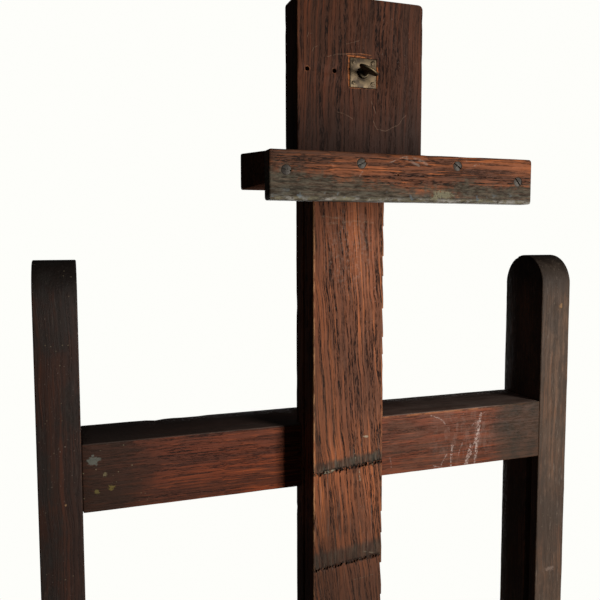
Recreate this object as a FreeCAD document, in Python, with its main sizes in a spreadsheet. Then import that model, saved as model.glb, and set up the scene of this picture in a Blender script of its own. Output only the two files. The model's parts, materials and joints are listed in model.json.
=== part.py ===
import FreeCAD, Part
import math
import os
import re
import Sketcher

# Oak studio easel.
#
# Two round-topped posts stand on runner feet and are joined by an upper and a lower rail. A mast
# rides up and down in notches in the rails. A carriage bar on its back runs in grooves in the
# posts, and a T-headed bolt with a wing nut, through the upper rail, clamps it at any height.
# Two canvas holders of the same make slide on the mast: the head grips the canvas from above and
# the tray carries it from below. Each is a board with two cheeks whose tongues run in grooves in
# the mast's sides, a ledge, a lip, and a thumbscrew that presses on the mast.
#
# Millimetres. +X is to the right seen from the front, the front faces -Y, and +Z is up. The
# origin is on the floor, under the middle of the feet.

V = FreeCAD.Vector
doc = FreeCAD.newDocument("easel")
sheet = doc.addObject("Spreadsheet::Sheet", "Sizes")

DIMENSIONS = [
    ("post_top", 1400, "height of the posts' round tops"),
    ("post_wide", 38, "post, across X"),
    ("post_deep", 67, "post, front to back"),
    ("post_front", -67, "Y of the posts' front faces"),
    ("post_back", 0, "Y of the posts' back faces"),
    ("inner_gap", 498, "clear width between the posts"),
    ("arris", 1.2, "worn radius along the boards' edges"),
    ("rail_high", 64, "rail, bottom to top"),
    ("rail_drop", 166, "post top to the upper rail's top"),
    ("low_rail_top", 394, "height of the lower rail's top"),
    ("tenon_thick", 16, "rail and post tenons, thickness"),
    ("tenon_long", 22, "rail tenon, length into the post"),
    ("tenon_back", 8, "post middle back to the rail tenons' middle"),
    ("tenon_inset", 10, "rail tenon, shoulder above and below"),
    ("groove_back", 11.3, "post front to the carriage groove"),
    ("groove_wide", 10, "carriage groove, width"),
    ("groove_deep", 10, "carriage groove, depth"),
    ("foot_high", 70, "runner foot, height"),
    ("foot_wide", 50, "runner foot, across X"),
    ("foot_long", 640, "runner foot, front to back"),
    ("foot_toe", 38, "height of the foot's front and back ends"),
    ("foot_flat_front", 130, "flat top, ahead of the origin"),
    ("foot_flat_back", 286, "flat top, behind the origin"),
    ("foot_relief", 8, "height of the hollow under the foot"),
    ("foot_pad", 95, "length of each bearing pad under the foot"),
    ("foot_slope", 16, "run of the slope at each pad's inner end"),
    ("foot_tenon_high", 45, "post tenon, length into the foot"),
    ("foot_tenon_deep", 50, "post tenon, front to back"),
    ("peg_radius", 4.5, "oak peg through the post tenon"),
    ("peg_proud", 0.6, "how far a peg stands out of the foot"),
    ("peg_pitch", 26, "distance between the two pegs of a foot"),
    ("brace_wide", 30, "brace, across X"),
    ("brace_top", 640, "height where the brace meets the post"),
    ("brace_foot", 284, "Y of the brace's heel on the foot"),
    ("brace_heel", 50, "length of the brace's cut on the foot"),
    ("stretcher_thick", 22, "rear stretcher, front to back"),
    ("stretcher_high", 50, "rear stretcher, height"),
    ("stretcher_low", 15, "height of the stretcher's underside"),
    ("stretcher_front", 205, "Y of the stretcher's front face"),
    ("bolt_radius", 4, "coach bolts and the T-bolt, shank radius"),
    ("bolt_long", 92, "coach bolt, length under its head"),
    ("bolt_head_high", 5.5, "coach bolt, head height"),
    ("bolt_head_radius", 7.5, "coach bolt, across the head's corners, half"),
    ("washer_radius", 10, "washer, outside"),
    ("washer_bore", 4.3, "washer, hole radius"),
    ("washer_thick", 2, "washer, thickness"),
    ("brace_screw_long", 66, "brace screws, length"),
    ("brace_screw_back", 34, "post back to the upper brace screw's head"),
    ("brace_screw_high", 560, "height of the upper brace screw"),
    ("foot_screw_high", 118, "height of the lower brace screw's head"),
    ("foot_screw_back", 250, "Y of the lower brace screw"),
    ("mast_wide", 73, "mast, across X"),
    ("mast_deep", 50.5, "mast, front to back"),
    ("mast_middle", -2.6, "X of the mast's middle"),
    ("mast_sunk", 15, "depth of the mast in the rails' notches"),
    ("mast_low", 250, "height of the mast's lower end"),
    ("mast_top", 1615, "height of the mast's upper end"),
    ("notch_play", 0.5, "play between mast and notch"),
    ("track_wide", 6.2, "grooves in the mast's sides, width"),
    ("track_deep", 5, "grooves in the mast's sides, depth"),
    ("track_ahead", 5.1, "side grooves' back wall, ahead of the posts' front"),
    ("slot_mouth", 10, "T-slot in the mast's back, mouth width"),
    ("slot_lip", 7, "T-slot, thickness of the lips beside the mouth"),
    ("slot_wide", 20, "T-slot, width inside"),
    ("slot_deep", 9, "T-slot, depth inside"),
    ("slot_low", 685, "height of the T-slot's lower end"),
    ("slot_top", 1370, "height of the T-slot's upper end"),
    ("tee_wide", 18, "T-bolt, head across"),
    ("tee_thick", 6.5, "T-bolt, head thickness"),
    ("tee_gap", 0.3, "T-bolt, gap between its head and the slot's lips"),
    ("tee_tail", 4, "T-bolt, length beyond the wing nut's hub"),
    ("nut_high", 13, "wing nut, hub length"),
    ("nut_radius", 9, "wing nut, hub radius at its foot"),
    ("nut_neck", 7, "wing nut, hub radius at its tip"),
    ("nut_bore", 4.06, "wing nut, hole radius"),
    ("wing_long", 17, "wing nut, length of a wing from the axis"),
    ("wing_radius", 8, "wing nut, radius of a wing's round end"),
    ("wing_thick", 3.4, "wing nut, wing thickness"),
    ("carriage_low", 560, "height of the carriage's underside"),
    ("carriage_high", 90, "carriage, height"),
    ("carriage_thick", 22, "carriage, front to back"),
    ("carriage_front", 5, "post front to the carriage's front"),
    ("carriage_play", 0.5, "gap between the carriage's ends and the posts"),
    ("tongue_long", 8, "carriage tongue, length into the groove"),
    ("tongue_play", 0.35, "gap on each side of the tongue"),
    ("head_face", 1460, "height of the head ledge's underside, where a canvas ends"),
    ("tray_face", 640, "height of the tray shelf's top, where a canvas stands"),
    ("holder_wide", 120.5, "holder board, across X"),
    ("holder_thick", 34, "holder board, front to back"),
    ("holder_high", 169.6, "holder board, height"),
    ("holder_shift", -3.3, "X of the board's middle from the mast's"),
    ("holder_play", 0.2, "gap between a holder and the mast"),
    ("cheek_thick", 10, "cheek, across X"),
    ("cheek_inset", 7, "board's end to the cheek's end"),
    ("cheek_gap", 1.5, "gap between a cheek and the rails' front"),
    ("tongue_slack", 0.4, "gap on each side of a cheek's tongue"),
    ("cheek_tongue", 4, "cheek tongue, length into the mast's groove"),
    ("ledge_deep", 72.6, "ledge, front to back"),
    ("ledge_thin", 24, "ledge, thickness at the lip"),
    ("ledge_thick", 30.4, "ledge, thickness at the board"),
    ("head_ledge_long", 227.4, "head ledge and lip, across X"),
    ("head_ledge_middle", -3.2, "X of the head ledge's middle"),
    ("tray_ledge_long", 580, "tray ledge and lip, across X"),
    ("tray_ledge_middle", 0, "X of the tray ledge's middle"),
    ("lip_thick", 13.2, "lip, front to back"),
    ("lip_over", 12.8, "how far the lip overhangs the canvas's side of the ledge"),
    ("lip_round", 2.2, "worn radius along the lip's edges"),
    ("plate_side", 25.4, "brass screw plate, side"),
    ("plate_thick", 1.6, "brass screw plate, thickness"),
    ("plate_proud", 0.3, "how far the plate stands out of its recess"),
    ("plate_gap", 0.5, "gap round the plate in its recess"),
    ("plate_rise", 105, "ledge face to the plate's middle"),
    ("plate_middle", -4.6, "X of the plate's middle"),
    ("plate_screw_inset", 3.6, "plate's edge to its screws"),
    ("thumb_radius", 3, "thumbscrew, shaft radius"),
    ("thumb_play", 0.06, "thumbscrew, radial play in the board and plate"),
    ("thumb_collar_radius", 5, "thumbscrew, collar radius"),
    ("thumb_collar_high", 2.4, "thumbscrew, collar height"),
    ("thumb_neck", 4, "thumbscrew, neck length before its wing"),
    ("paddle_long", 19, "thumbscrew wing, length"),
    ("paddle_high", 11, "thumbscrew wing, height"),
    ("paddle_thick", 2.6, "thumbscrew wing, thickness"),
    ("thumb_turn", 25, "slope of the thumbscrew's wing, degrees"),
    ("cheek_screw_long", 56, "cheek screws, length"),
    ("cheek_screw_inset", 26, "cheek's end to its screws"),
    ("ledge_screw_long", 74, "ledge screws, length"),
    ("ledge_screw_inset", 5.8, "board's side to the ledge screws"),
    ("ledge_screw_rise", 13, "ledge face to the ledge screws"),
    ("lip_screw_long", 40, "lip screws, length"),
    ("plate_screw_long", 9, "plate screws, length"),
    ("carriage_screw_long", 38, "carriage screws, length"),
    ("carriage_screw_side", 22, "carriage screws, from the mast's middle"),
    ("carriage_screw_inset", 22, "carriage's edge to its screws"),
    ("screw_head", 4.1, "wood screw, head radius"),
    ("screw_cone", 2.8, "wood screw, head height"),
    ("screw_radius", 2.1, "wood screw, shank radius"),
    ("screw_slot", 1.1, "wood screw, slot width"),
    ("screw_slot_deep", 1, "wood screw, slot depth"),
    ("pin_head", 2, "plate screw, head radius"),
    ("pin_high", 1.1, "plate screw, head height"),
    ("pin_radius", 1, "plate screw, shank radius"),
    ("nail_near", 27.2, "plate's middle to the nearer nail hole"),
    ("nail_far", 52.4, "plate's middle to the further nail hole"),
    ("nail_radius", 1.9, "old nail holes in the head board, radius"),
    ("nail_deep", 12, "old nail holes, depth"),
]

for row, (alias, value, note) in enumerate(DIMENSIONS, start=1):
    sheet.set(f"A{row}", note)
    sheet.set(f"B{row}", str(value))
    sheet.setAlias(f"B{row}", alias)
doc.recompute()

ALIASES = {alias for alias, value, note in DIMENSIONS}
WORD = re.compile(r"[a-z][a-z0-9_]*")

# Turns from a piece's own frame to the easel's.
ALONG_Z = FreeCAD.Rotation()
ALONG_X = FreeCAD.Rotation(V(1, 1, 1), 120)      # own X, Y, Z become the easel's Y, Z, X
FACING_FRONT = FreeCAD.Rotation(V(1, 0, 0), 90)  # own +Z points to -Y
FACING_BACK = FreeCAD.Rotation(V(1, 0, 0), -90)  # own +Z points to +Y
FACING_RIGHT = FreeCAD.Rotation(V(0, 1, 0), 90)
FACING_LEFT = FreeCAD.Rotation(V(0, 1, 0), -90)

# Heights and places that several pieces share.
RAIL_TOP = "(post_top - rail_drop)"
MAST_FRONT = "(post_front + mast_sunk - mast_deep)"
MAST_BACK = "(post_front + mast_sunk)"
MAST_LEFT = "(mast_middle - mast_wide / 2)"
MAST_RIGHT = "(mast_middle + mast_wide / 2)"
BOARD_BACK = f"({MAST_FRONT} - holder_play)"
BOARD_FRONT = f"({BOARD_BACK} - holder_thick)"

nodes = []


def formula(text):
    """The expression with each size's name written as its cell in the sheet."""
    return WORD.sub(lambda hit: "Sizes." + hit.group() if hit.group() in ALIASES else hit.group(), text)


def bind(thing, path, text):
    thing.setExpression(path, formula(str(text)))


def place(thing, at, turn=ALONG_Z):
    thing.Placement = FreeCAD.Placement(V(0, 0, 0), turn)
    for axis, text in zip("xyz", at):
        bind(thing, f"Placement.Base.{axis}", text)


def node(thing, label):
    """Marks a finished sub-part and gives it its name."""
    thing.Label = label
    nodes.append(thing)
    return thing


def box(name, at, size):
    block = doc.addObject("Part::Box", name)
    for side, text in zip(("Length", "Width", "Height"), size):
        bind(block, side, text)
    place(block, at)
    return block


def rod(name, at, radius, length, turn=ALONG_Z):
    round_bar = doc.addObject("Part::Cylinder", name)
    bind(round_bar, "Radius", radius)
    bind(round_bar, "Height", length)
    place(round_bar, at, turn)
    return round_bar


def fuse(name, shapes):
    joined = doc.addObject("Part::MultiFuse", name)
    joined.Shapes = shapes
    return joined


def group(name, shapes):
    together = doc.addObject("Part::Compound", name)
    together.Links = shapes
    return together


def cut(name, base, tools):
    result = doc.addObject("Part::Cut", name)
    result.Base = base
    result.Tool = tools[0] if len(tools) == 1 else group(name + "_tools", tools)
    return result


def copy_at(name, source, at, turn=ALONG_Z):
    """The same shape again at another place."""
    again = group(name, [source])
    place(again, at, turn)
    return again


def origin_plane(body, role):
    for feature in body.Origin.OriginFeatures:
        if feature.Role == role:
            return feature


def own_sketch(body, name):
    sketch = body.newObject("Sketcher::SketchObject", name)
    sketch.AttachmentSupport = (origin_plane(body, "XY_Plane"), [""])
    sketch.MapMode = "FlatFace"
    return sketch


def pin_point(sketch, curve, end, across, up):
    """Holds one end of a curve at a place that follows the sheet."""
    now = sketch.getPoint(curve, end)
    for kind, text, value in (("DistanceX", across, now.x), ("DistanceY", up, now.y)):
        index = sketch.addConstraint(Sketcher.Constraint(kind, -1, 1, curve, end, value))
        bind(sketch, f"Constraints[{index}]", text)


def join_ends(sketch, count):
    for curve in range(count):
        follower = (curve + 1) % count
        sketch.addConstraint(Sketcher.Constraint("Coincident", curve, 2, follower, 1))


def pad_and_round(body, sketch, length, edge):
    pad = body.newObject("PartDesign::Pad", body.Name + "_pad")
    pad.Profile = sketch
    bind(pad, "Length", length)
    doc.recompute()
    fillet = body.newObject("PartDesign::Fillet", body.Name + "_arris")
    fillet.Base = (pad, [f"Edge{i + 1}" for i in range(len(pad.Shape.Edges))])
    bind(fillet, "Radius", edge)
    body.Tip = fillet


def board(name, outline, length, at, turn, edge="arris"):
    """A board of any straight-sided outline, with all its edges worn round."""
    body = doc.addObject("PartDesign::Body", name)
    sketch = own_sketch(body, name + "_outline")
    count = len(outline)
    for corner in range(count):
        follower = (corner + 1) % count
        sketch.addGeometry(Part.LineSegment(V(corner, corner ** 2, 0), V(follower, follower ** 2, 0)))
    join_ends(sketch, count)
    for corner, (across, up) in enumerate(outline):
        pin_point(sketch, corner, 1, across, up)
    pad_and_round(body, sketch, length, edge)
    place(body, at, turn)
    return body


def plank(name, at, size, turn, edge="arris"):
    """A square-cornered board. size is across, up and along in the board's own frame."""
    across, up, along = size
    outline = [("0", "0"), (across, "0"), (across, up), ("0", up)]
    return board(name, outline, along, at, turn, edge)


def span(face, way, near, far):
    """Low end of a stretch that starts near and ends far from a face, up (1) or down (-1)."""
    if way > 0:
        return f"({face} + ({near}))"
    return f"({face} - ({far}))"


# ---------------------------------------------------------------- fasteners

def wood_screw(name, length):
    """A slotted countersunk wood screw, head up at the origin. Returns it and its bare outline."""
    cone = doc.addObject("Part::Cone", name + "_cone")
    bind(cone, "Radius1", "screw_radius")
    bind(cone, "Radius2", "screw_head")
    bind(cone, "Height", "screw_cone")
    place(cone, ("0", "0", "-screw_cone"))
    shank = rod(name + "_shank", ("0", "0", f"-({length})"), "screw_radius", length)
    outline = fuse(name + "_outline", [cone, shank])
    slot = box(name + "_slot", ("-screw_head", "-screw_slot / 2", "-screw_slot_deep"),
               ("2 * screw_head", "screw_slot", "2 * screw_slot_deep"))
    return cut(name, outline, [slot]), outline


def plate_screw(name, length):
    """A small round-headed screw, the head's foot at the origin."""
    head = doc.addObject("Part::Cone", name + "_dome")
    bind(head, "Radius1", "pin_head")
    bind(head, "Radius2", "pin_head * 0.6")
    bind(head, "Height", "pin_high")
    shank = rod(name + "_shank", ("0", "0", f"-({length})"), "pin_radius", length)
    outline = fuse(name + "_outline", [head, shank])
    slot = box(name + "_slot", ("-pin_head", "-pin_radius / 4", "pin_high / 2"),
               ("2 * pin_head", "pin_radius / 2", "pin_high"))
    return cut(name, outline, [slot]), outline


def scatter(name, pair, spots):
    """Makes a node of one fastener at each spot (place, turn). Returns the outlines of its holes."""
    screw, outline = pair
    shown = [copy_at(f"{name}_{i}", screw, at, turn) for i, (at, turn) in enumerate(spots)]
    node(group(name + "_group", shown), name)
    return [copy_at(f"{name}_hole_{i}", outline, at, turn) for i, (at, turn) in enumerate(spots)]


def spun(turn, degrees):
    """A facing turned about its own axis, for a screw's slot."""
    return turn.multiply(FreeCAD.Rotation(V(0, 0, 1), degrees))


# ---------------------------------------------------------------- frame

UPPER_LOW = f"({RAIL_TOP} - rail_high)"
LOWER_LOW = "(low_rail_top - rail_high)"
TENON_MIDDLE = "(post_front + post_deep / 2 + tenon_back)"
SIDES = ("left", "right")
SIGN = {"left": "-1", "right": "1"}
OUTWARD = {"left": FACING_LEFT, "right": FACING_RIGHT}
POST_START = {"left": "(-inner_gap / 2 - post_wide)", "right": "(inner_gap / 2)"}
GROOVE_START = {"left": "(-inner_gap / 2 - groove_deep)", "right": "(inner_gap / 2 - 1)"}
TENON_START = {"left": "(-inner_gap / 2 - tenon_long)", "right": "(inner_gap / 2)"}
POST_MIDDLE = {side: f"({POST_START[side]} + post_wide / 2)" for side in SIDES}


def rail_tenons(name, low):
    """The two tenons of a rail, one into each post."""
    return {side: box(f"{name}_{side}_tenon",
                      (TENON_START[side], f"{TENON_MIDDLE} - tenon_thick / 2", f"{low} + tenon_inset"),
                      ("tenon_long", "tenon_thick", "rail_high - 2 * tenon_inset"))
            for side in SIDES}


def rail(name, low, tenons, holes):
    """A rail between the posts, notched in front for the mast."""
    blank = plank(name + "_blank", ("-inner_gap / 2", "post_front", low),
                  ("post_deep", "rail_high", "inner_gap"), ALONG_X)
    notch = box(name + "_notch", (f"{MAST_LEFT} - notch_play", "post_front - 1", f"{low} - 1"),
                ("mast_wide + 2 * notch_play", "mast_sunk + notch_play + 1", "rail_high + 2"))
    whole = fuse(name + "_with_tenons", [blank] + list(tenons.values()))
    return node(cut(name, whole, [notch] + holes), name)


def post_blank(side):
    """A post with a half-round top, worn round along its edges."""
    body = doc.addObject("PartDesign::Body", side + "_post_blank")
    sketch = own_sketch(body, side + "_post_outline")
    straight = "post_top - foot_high - post_deep / 2"
    sketch.addGeometry(Part.LineSegment(V(0, 0, 0), V(2, 0, 0)))
    sketch.addGeometry(Part.LineSegment(V(2, 0, 0), V(2, 9, 0)))
    sketch.addGeometry(Part.ArcOfCircle(Part.Circle(V(1, 9, 0), V(0, 0, 1), 1), 0, math.pi))
    sketch.addGeometry(Part.LineSegment(V(0, 9, 0), V(0, 0, 0)))
    join_ends(sketch, 4)
    pin_point(sketch, 0, 1, "0", "0")
    pin_point(sketch, 1, 1, "post_deep", "0")
    pin_point(sketch, 2, 1, "post_deep", straight)
    pin_point(sketch, 3, 1, "0", straight)
    index = sketch.addConstraint(Sketcher.Constraint("DistanceY", -1, 1, 2, 3, 9.0))
    bind(sketch, f"Constraints[{index}]", straight)
    pad_and_round(body, sketch, "post_wide", "arris")
    place(body, (POST_START[side], "post_front", "foot_high"), ALONG_X)
    return body


def post_stub(side):
    """The tenon under a post, which stands in the foot's mortise."""
    return box(side + "_post_stub",
               (f"{POST_MIDDLE[side]} - tenon_thick / 2",
                "post_front + (post_deep - foot_tenon_deep) / 2", "foot_high - foot_tenon_high"),
               ("tenon_thick", "foot_tenon_deep", "foot_tenon_high + 2"))


def post(side, stub, holes):
    groove = box(side + "_post_groove",
                 (GROOVE_START[side], "post_front + groove_back", "low_rail_top"),
                 ("groove_deep + 1", "groove_wide", f"{UPPER_LOW} - low_rail_top"))
    whole = fuse(side + "_post_with_stub", [post_blank(side), stub])
    return node(cut(side + "_post", whole, [groove] + holes), side + "_post")


def foot(side, holes):
    """A runner from front to back, hollow underneath between two pads, with sloped ends."""
    half = "foot_long / 2"
    outline = [("0", "0"), ("foot_pad", "0"), ("foot_pad + foot_slope", "foot_relief"),
               ("foot_long - foot_pad - foot_slope", "foot_relief"), ("foot_long - foot_pad", "0"),
               ("foot_long", "0"), ("foot_long", "foot_toe"), (f"{half} + foot_flat_back", "foot_high"),
               (f"{half} - foot_flat_front", "foot_high"), ("0", "foot_toe")]
    blank = board(side + "_foot_blank", outline, "foot_wide",
                  (f"{POST_MIDDLE[side]} - foot_wide / 2", f"-{half}", "0"), ALONG_X)
    return node(cut(side + "_foot", blank, holes), side + "_foot")


def brace(side, holes):
    """A diagonal from the back of a post down to the back of its foot."""
    rise = "(brace_heel * (brace_top - foot_high) / (brace_foot - post_back))"
    outline = [("0", f"brace_top - {rise} - foot_high"), ("brace_foot - brace_heel - post_back", "0"),
               ("brace_foot - post_back", "0"), ("0", "brace_top - foot_high")]
    blank = board(side + "_brace_blank", outline, "brace_wide",
                  (f"{POST_MIDDLE[side]} - brace_wide / 2", "post_back", "foot_high"), ALONG_X)
    return node(cut(side + "_brace", blank, holes), side + "_brace")


# Hexagon-headed coach bolts with washers run through the posts into the lower rail's ends,
# and through the feet into the stretcher's ends. The upper rail's tenons are glued.
hexagon = doc.addObject("Part::Prism", "coach_bolt_head")
hexagon.Polygon = 6
bind(hexagon, "Circumradius", "bolt_head_radius")
bind(hexagon, "Height", "bolt_head_high")
place(hexagon, ("0", "0", "washer_thick"))
coach_shank = rod("coach_bolt_shank", ("0", "0", "-bolt_long"), "bolt_radius", "bolt_long + washer_thick")
coach_bolt = fuse("coach_bolt", [hexagon, coach_shank])
washer_disc = rod("washer_disc", ("0", "0", "0"), "washer_radius", "washer_thick")
washer_hole = rod("washer_hole", ("0", "0", "-1"), "washer_bore", "washer_thick + 2")
washer = cut("washer", washer_disc, [washer_hole])

bolt_spots = {}
for side in SIDES:
    outer_face = f"{SIGN[side]} * (inner_gap / 2 + post_wide)"
    at = (outer_face, TENON_MIDDLE, f"{LOWER_LOW} + rail_high / 2")
    bolt_spots[f"lower_{side}"] = (at, OUTWARD[side])
    foot_face = f"{SIGN[side]} * (inner_gap / 2 + post_wide / 2 + foot_wide / 2)"
    at = (foot_face, "stretcher_front + stretcher_thick / 2", "stretcher_low + stretcher_high / 2")
    bolt_spots[f"stretcher_{side}"] = (at, OUTWARD[side])
bolts = {key: copy_at("bolt_" + key, coach_bolt, at, turn) for key, (at, turn) in bolt_spots.items()}
washers = [copy_at("washer_" + key, washer, at, turn) for key, (at, turn) in bolt_spots.items()]
node(group("coach_bolts_group", list(bolts.values())), "coach_bolts")
node(group("coach_washers_group", washers), "coach_washers")

# Two oak pegs pin each post's tenon in its foot.
pegs = {}
for side in SIDES:
    for name, way in (("front", "-1"), ("back", "1")):
        at = (f"{POST_MIDDLE[side]} - foot_wide / 2 - peg_proud",
              f"post_front + post_deep / 2 + {way} * peg_pitch / 2", "foot_high / 2")
        pegs[side, name] = rod(f"peg_{side}_{name}", at, "peg_radius", "foot_wide + 2 * peg_proud", FACING_RIGHT)
node(group("foot_pegs_group", list(pegs.values())), "foot_pegs")

# A slotted screw holds each end of a brace, sunk in a round counterbore.
brace_screw = wood_screw("brace_screw", "brace_screw_long")
brace_spots = []
counterbores = {}
for side in SIDES:
    high = (POST_MIDDLE[side], "post_back + brace_screw_back", "brace_screw_high")
    low = (POST_MIDDLE[side], "foot_screw_back", "foot_screw_high")
    brace_spots += [(high, FACING_BACK), (low, ALONG_Z)]
    counterbores[side] = [rod(f"counterbore_{side}_high", high, "screw_head", "brace_heel", FACING_BACK),
                          rod(f"counterbore_{side}_low", low, "screw_head", "brace_heel")]
brace_holes = dict(zip((f"{side}_{end}" for side in SIDES for end in ("high", "low")),
                       scatter("brace_screws", brace_screw, brace_spots)))

# The bolt that clamps the mast to the upper rail: a square head in the mast's T-slot.
LOCK_AT = ("mast_middle", f"({MAST_BACK} - slot_lip - tee_gap)", f"({UPPER_LOW} + rail_high / 2)")
tee_head = box("tee_head", ("mast_middle - tee_wide / 2", f"{LOCK_AT[1]} - tee_thick",
                            f"{LOCK_AT[2]} - tee_wide / 2"), ("tee_wide", "tee_thick", "tee_wide"))
tee_shank = rod("tee_shank", LOCK_AT, "bolt_radius",
                f"post_back - {LOCK_AT[1]} + washer_thick + nut_high + tee_tail", FACING_BACK)
node(fuse("mast_bolt_whole", [tee_head, tee_shank]), "mast_bolt")
node(copy_at("mast_washer_placed", washer, ("mast_middle", "post_back", LOCK_AT[2]), FACING_BACK),
     "mast_washer")

tenons = {"upper": rail_tenons("upper_rail", UPPER_LOW), "lower": rail_tenons("lower_rail", LOWER_LOW)}
rail("upper_rail", UPPER_LOW, tenons["upper"], [tee_shank])
rail("lower_rail", LOWER_LOW, tenons["lower"], [bolts["lower_left"], bolts["lower_right"]])

for side in SIDES:
    stub = post_stub(side)
    post(side, stub, [tenons["upper"][side], tenons["lower"][side], bolts[f"lower_{side}"],
                      pegs[side, "front"], pegs[side, "back"], brace_holes[f"{side}_high"]])
    foot(side, [stub, pegs[side, "front"], pegs[side, "back"], bolts[f"stretcher_{side}"],
                brace_holes[f"{side}_low"]])
    brace(side, [brace_holes[f"{side}_high"], brace_holes[f"{side}_low"]] + counterbores[side])

STRETCHER_LONG = "(inner_gap + post_wide - foot_wide)"
stretcher = plank("rear_stretcher_blank", (f"-{STRETCHER_LONG} / 2", "stretcher_front", "stretcher_low"),
                  ("stretcher_thick", "stretcher_high", STRETCHER_LONG), ALONG_X)
node(cut("rear_stretcher", stretcher, [bolts["stretcher_left"], bolts["stretcher_right"]]),
     "rear_stretcher")


# ---------------------------------------------------------------- wing nut

def wing(name, way):
    """One flat wing of the nut, from the hub out to a round end."""
    reach = "wing_long - wing_radius"
    disc = rod(name + "_end", (f"{way} * ({reach})", "wing_thick / 2", "nut_high"), "wing_radius",
               "wing_thick", FACING_FRONT)
    low = "0" if way > 0 else f"-({reach})"
    root = box(name + "_root", (low, "-wing_thick / 2", "nut_high - wing_radius"),
               (reach, "wing_thick", "2 * wing_radius - wing_thick"))
    return [disc, root]


hub = doc.addObject("Part::Cone", "nut_hub")
bind(hub, "Radius1", "nut_radius")
bind(hub, "Radius2", "nut_neck")
bind(hub, "Height", "nut_high")
nut_solid = fuse("nut_solid", [hub] + wing("right_wing", 1) + wing("left_wing", -1))
nut_hole = rod("nut_hole", ("0", "0", "-1"), "nut_bore", "nut_high + 2")
nut_mouth = rod("nut_mouth", ("0", "0", "nut_high"), "nut_neck", "2 * wing_radius")
nut = cut("nut", nut_solid, [nut_hole, nut_mouth])
node(copy_at("wing_nut_placed", nut, ("mast_middle", "post_back + washer_thick", LOCK_AT[2]), FACING_BACK),
     "wing_nut")

# ---------------------------------------------------------------- mast and carriage

CARRIAGE_BACK = "(post_front + carriage_front + carriage_thick)"
carriage_spots = []
for across in ("-1", "1"):
    for height in ("carriage_low + carriage_screw_inset", "carriage_low + carriage_high - carriage_screw_inset"):
        at = (f"mast_middle + {across} * carriage_screw_side", CARRIAGE_BACK, height)
        carriage_spots.append((at, spun(FACING_BACK, 35 * len(carriage_spots))))
carriage_holes = scatter("carriage_screws", wood_screw("carriage_screw", "carriage_screw_long"),
                         carriage_spots)

mast_blank = plank("mast_blank", (MAST_LEFT, MAST_FRONT, "mast_low"),
                   ("mast_wide", "mast_deep", "mast_top - mast_low"), ALONG_Z)
slot_mouth = box("slot_mouth", ("mast_middle - slot_mouth / 2", f"{MAST_BACK} - slot_lip", "slot_low"),
                 ("slot_mouth", "slot_lip + 1", "slot_top - slot_low"))
slot_inside = box("slot_inside",
                  ("mast_middle - slot_wide / 2", f"{MAST_BACK} - slot_lip - slot_deep", "slot_low"),
                  ("slot_wide", "slot_deep", "slot_top - slot_low"))
tracks = [box(f"{side}_track", (start, "post_front - track_ahead - track_wide", "mast_low - 1"),
              ("track_deep + 1", "track_wide", "mast_top - mast_low + 2"))
          for side, start in (("left", f"{MAST_LEFT} - 1"), ("right", f"{MAST_RIGHT} - track_deep"))]
node(cut("mast", mast_blank, [slot_mouth, slot_inside] + tracks + carriage_holes), "mast")

bar = plank("carriage_bar",
            ("-inner_gap / 2 + carriage_play", "post_front + carriage_front", "carriage_low"),
            ("carriage_thick", "carriage_high", "inner_gap - 2 * carriage_play"), ALONG_X)
tongues = box("carriage_tongues",
              ("-inner_gap / 2 - tongue_long", "post_front + groove_back + tongue_play", "carriage_low + arris"),
              ("inner_gap + 2 * tongue_long", "groove_wide - 2 * tongue_play", "carriage_high - 2 * arris"))
mast_seat = box("mast_seat", (MAST_LEFT, "post_front", "carriage_low - 1"),
                ("mast_wide", "mast_sunk", "carriage_high + 2"))
node(cut("carriage", fuse("carriage_whole", [bar, tongues]), [mast_seat] + carriage_holes), "carriage")

# ---------------------------------------------------------------- canvas holders

BOARD_LEFT = "(mast_middle + holder_shift - holder_wide / 2)"
BOARD_RIGHT = f"({BOARD_LEFT} + holder_wide)"
PLATE_FRONT = f"({BOARD_FRONT} - plate_proud)"
LEDGE_FRONT = f"({BOARD_FRONT} - ledge_deep)"
LIP_FRONT = f"({LEDGE_FRONT} - lip_thick)"
CHEEK_BACK = "(post_front - cheek_gap)"
CHEEK_START = {"left": f"({MAST_LEFT} - holder_play - cheek_thick)", "right": f"({MAST_RIGHT} + holder_play)"}
TONGUE_START = {"left": f"({MAST_LEFT} - holder_play - 1)",
                "right": f"({MAST_RIGHT} + holder_play - cheek_tongue)"}


def holder_board(name, face, way, holes):
    """The board in front of the mast, which the ledge, the cheeks and the plate are fixed to."""
    blank = plank(name + "_board_blank",
                  (BOARD_LEFT, BOARD_FRONT, span(face, way, "0", "holder_high")),
                  ("holder_wide", "holder_thick", "holder_high"), ALONG_Z)
    return node(cut(name + "_board", blank, holes), name + "_board")


def cheek(name, side, face, way, holes):
    """A strip beside the mast, with a tongue in the groove of the mast's side."""
    low = span(face, way, "cheek_inset", "holder_high - cheek_inset")
    high = "holder_high - 2 * cheek_inset"
    strip = box(f"{name}_{side}_strip", (CHEEK_START[side], BOARD_BACK, low),
                ("cheek_thick", f"{CHEEK_BACK} - {BOARD_BACK}", high))
    tongue = box(f"{name}_{side}_tongue",
                 (TONGUE_START[side], "post_front - track_ahead - track_wide + tongue_slack", low),
                 ("cheek_tongue + 1", "track_wide - 2 * tongue_slack", high))
    whole = fuse(f"{name}_{side}_whole", [strip, tongue])
    return node(cut(f"{name}_{side}_cheek", whole, holes), f"{name}_{side}_cheek")


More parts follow.
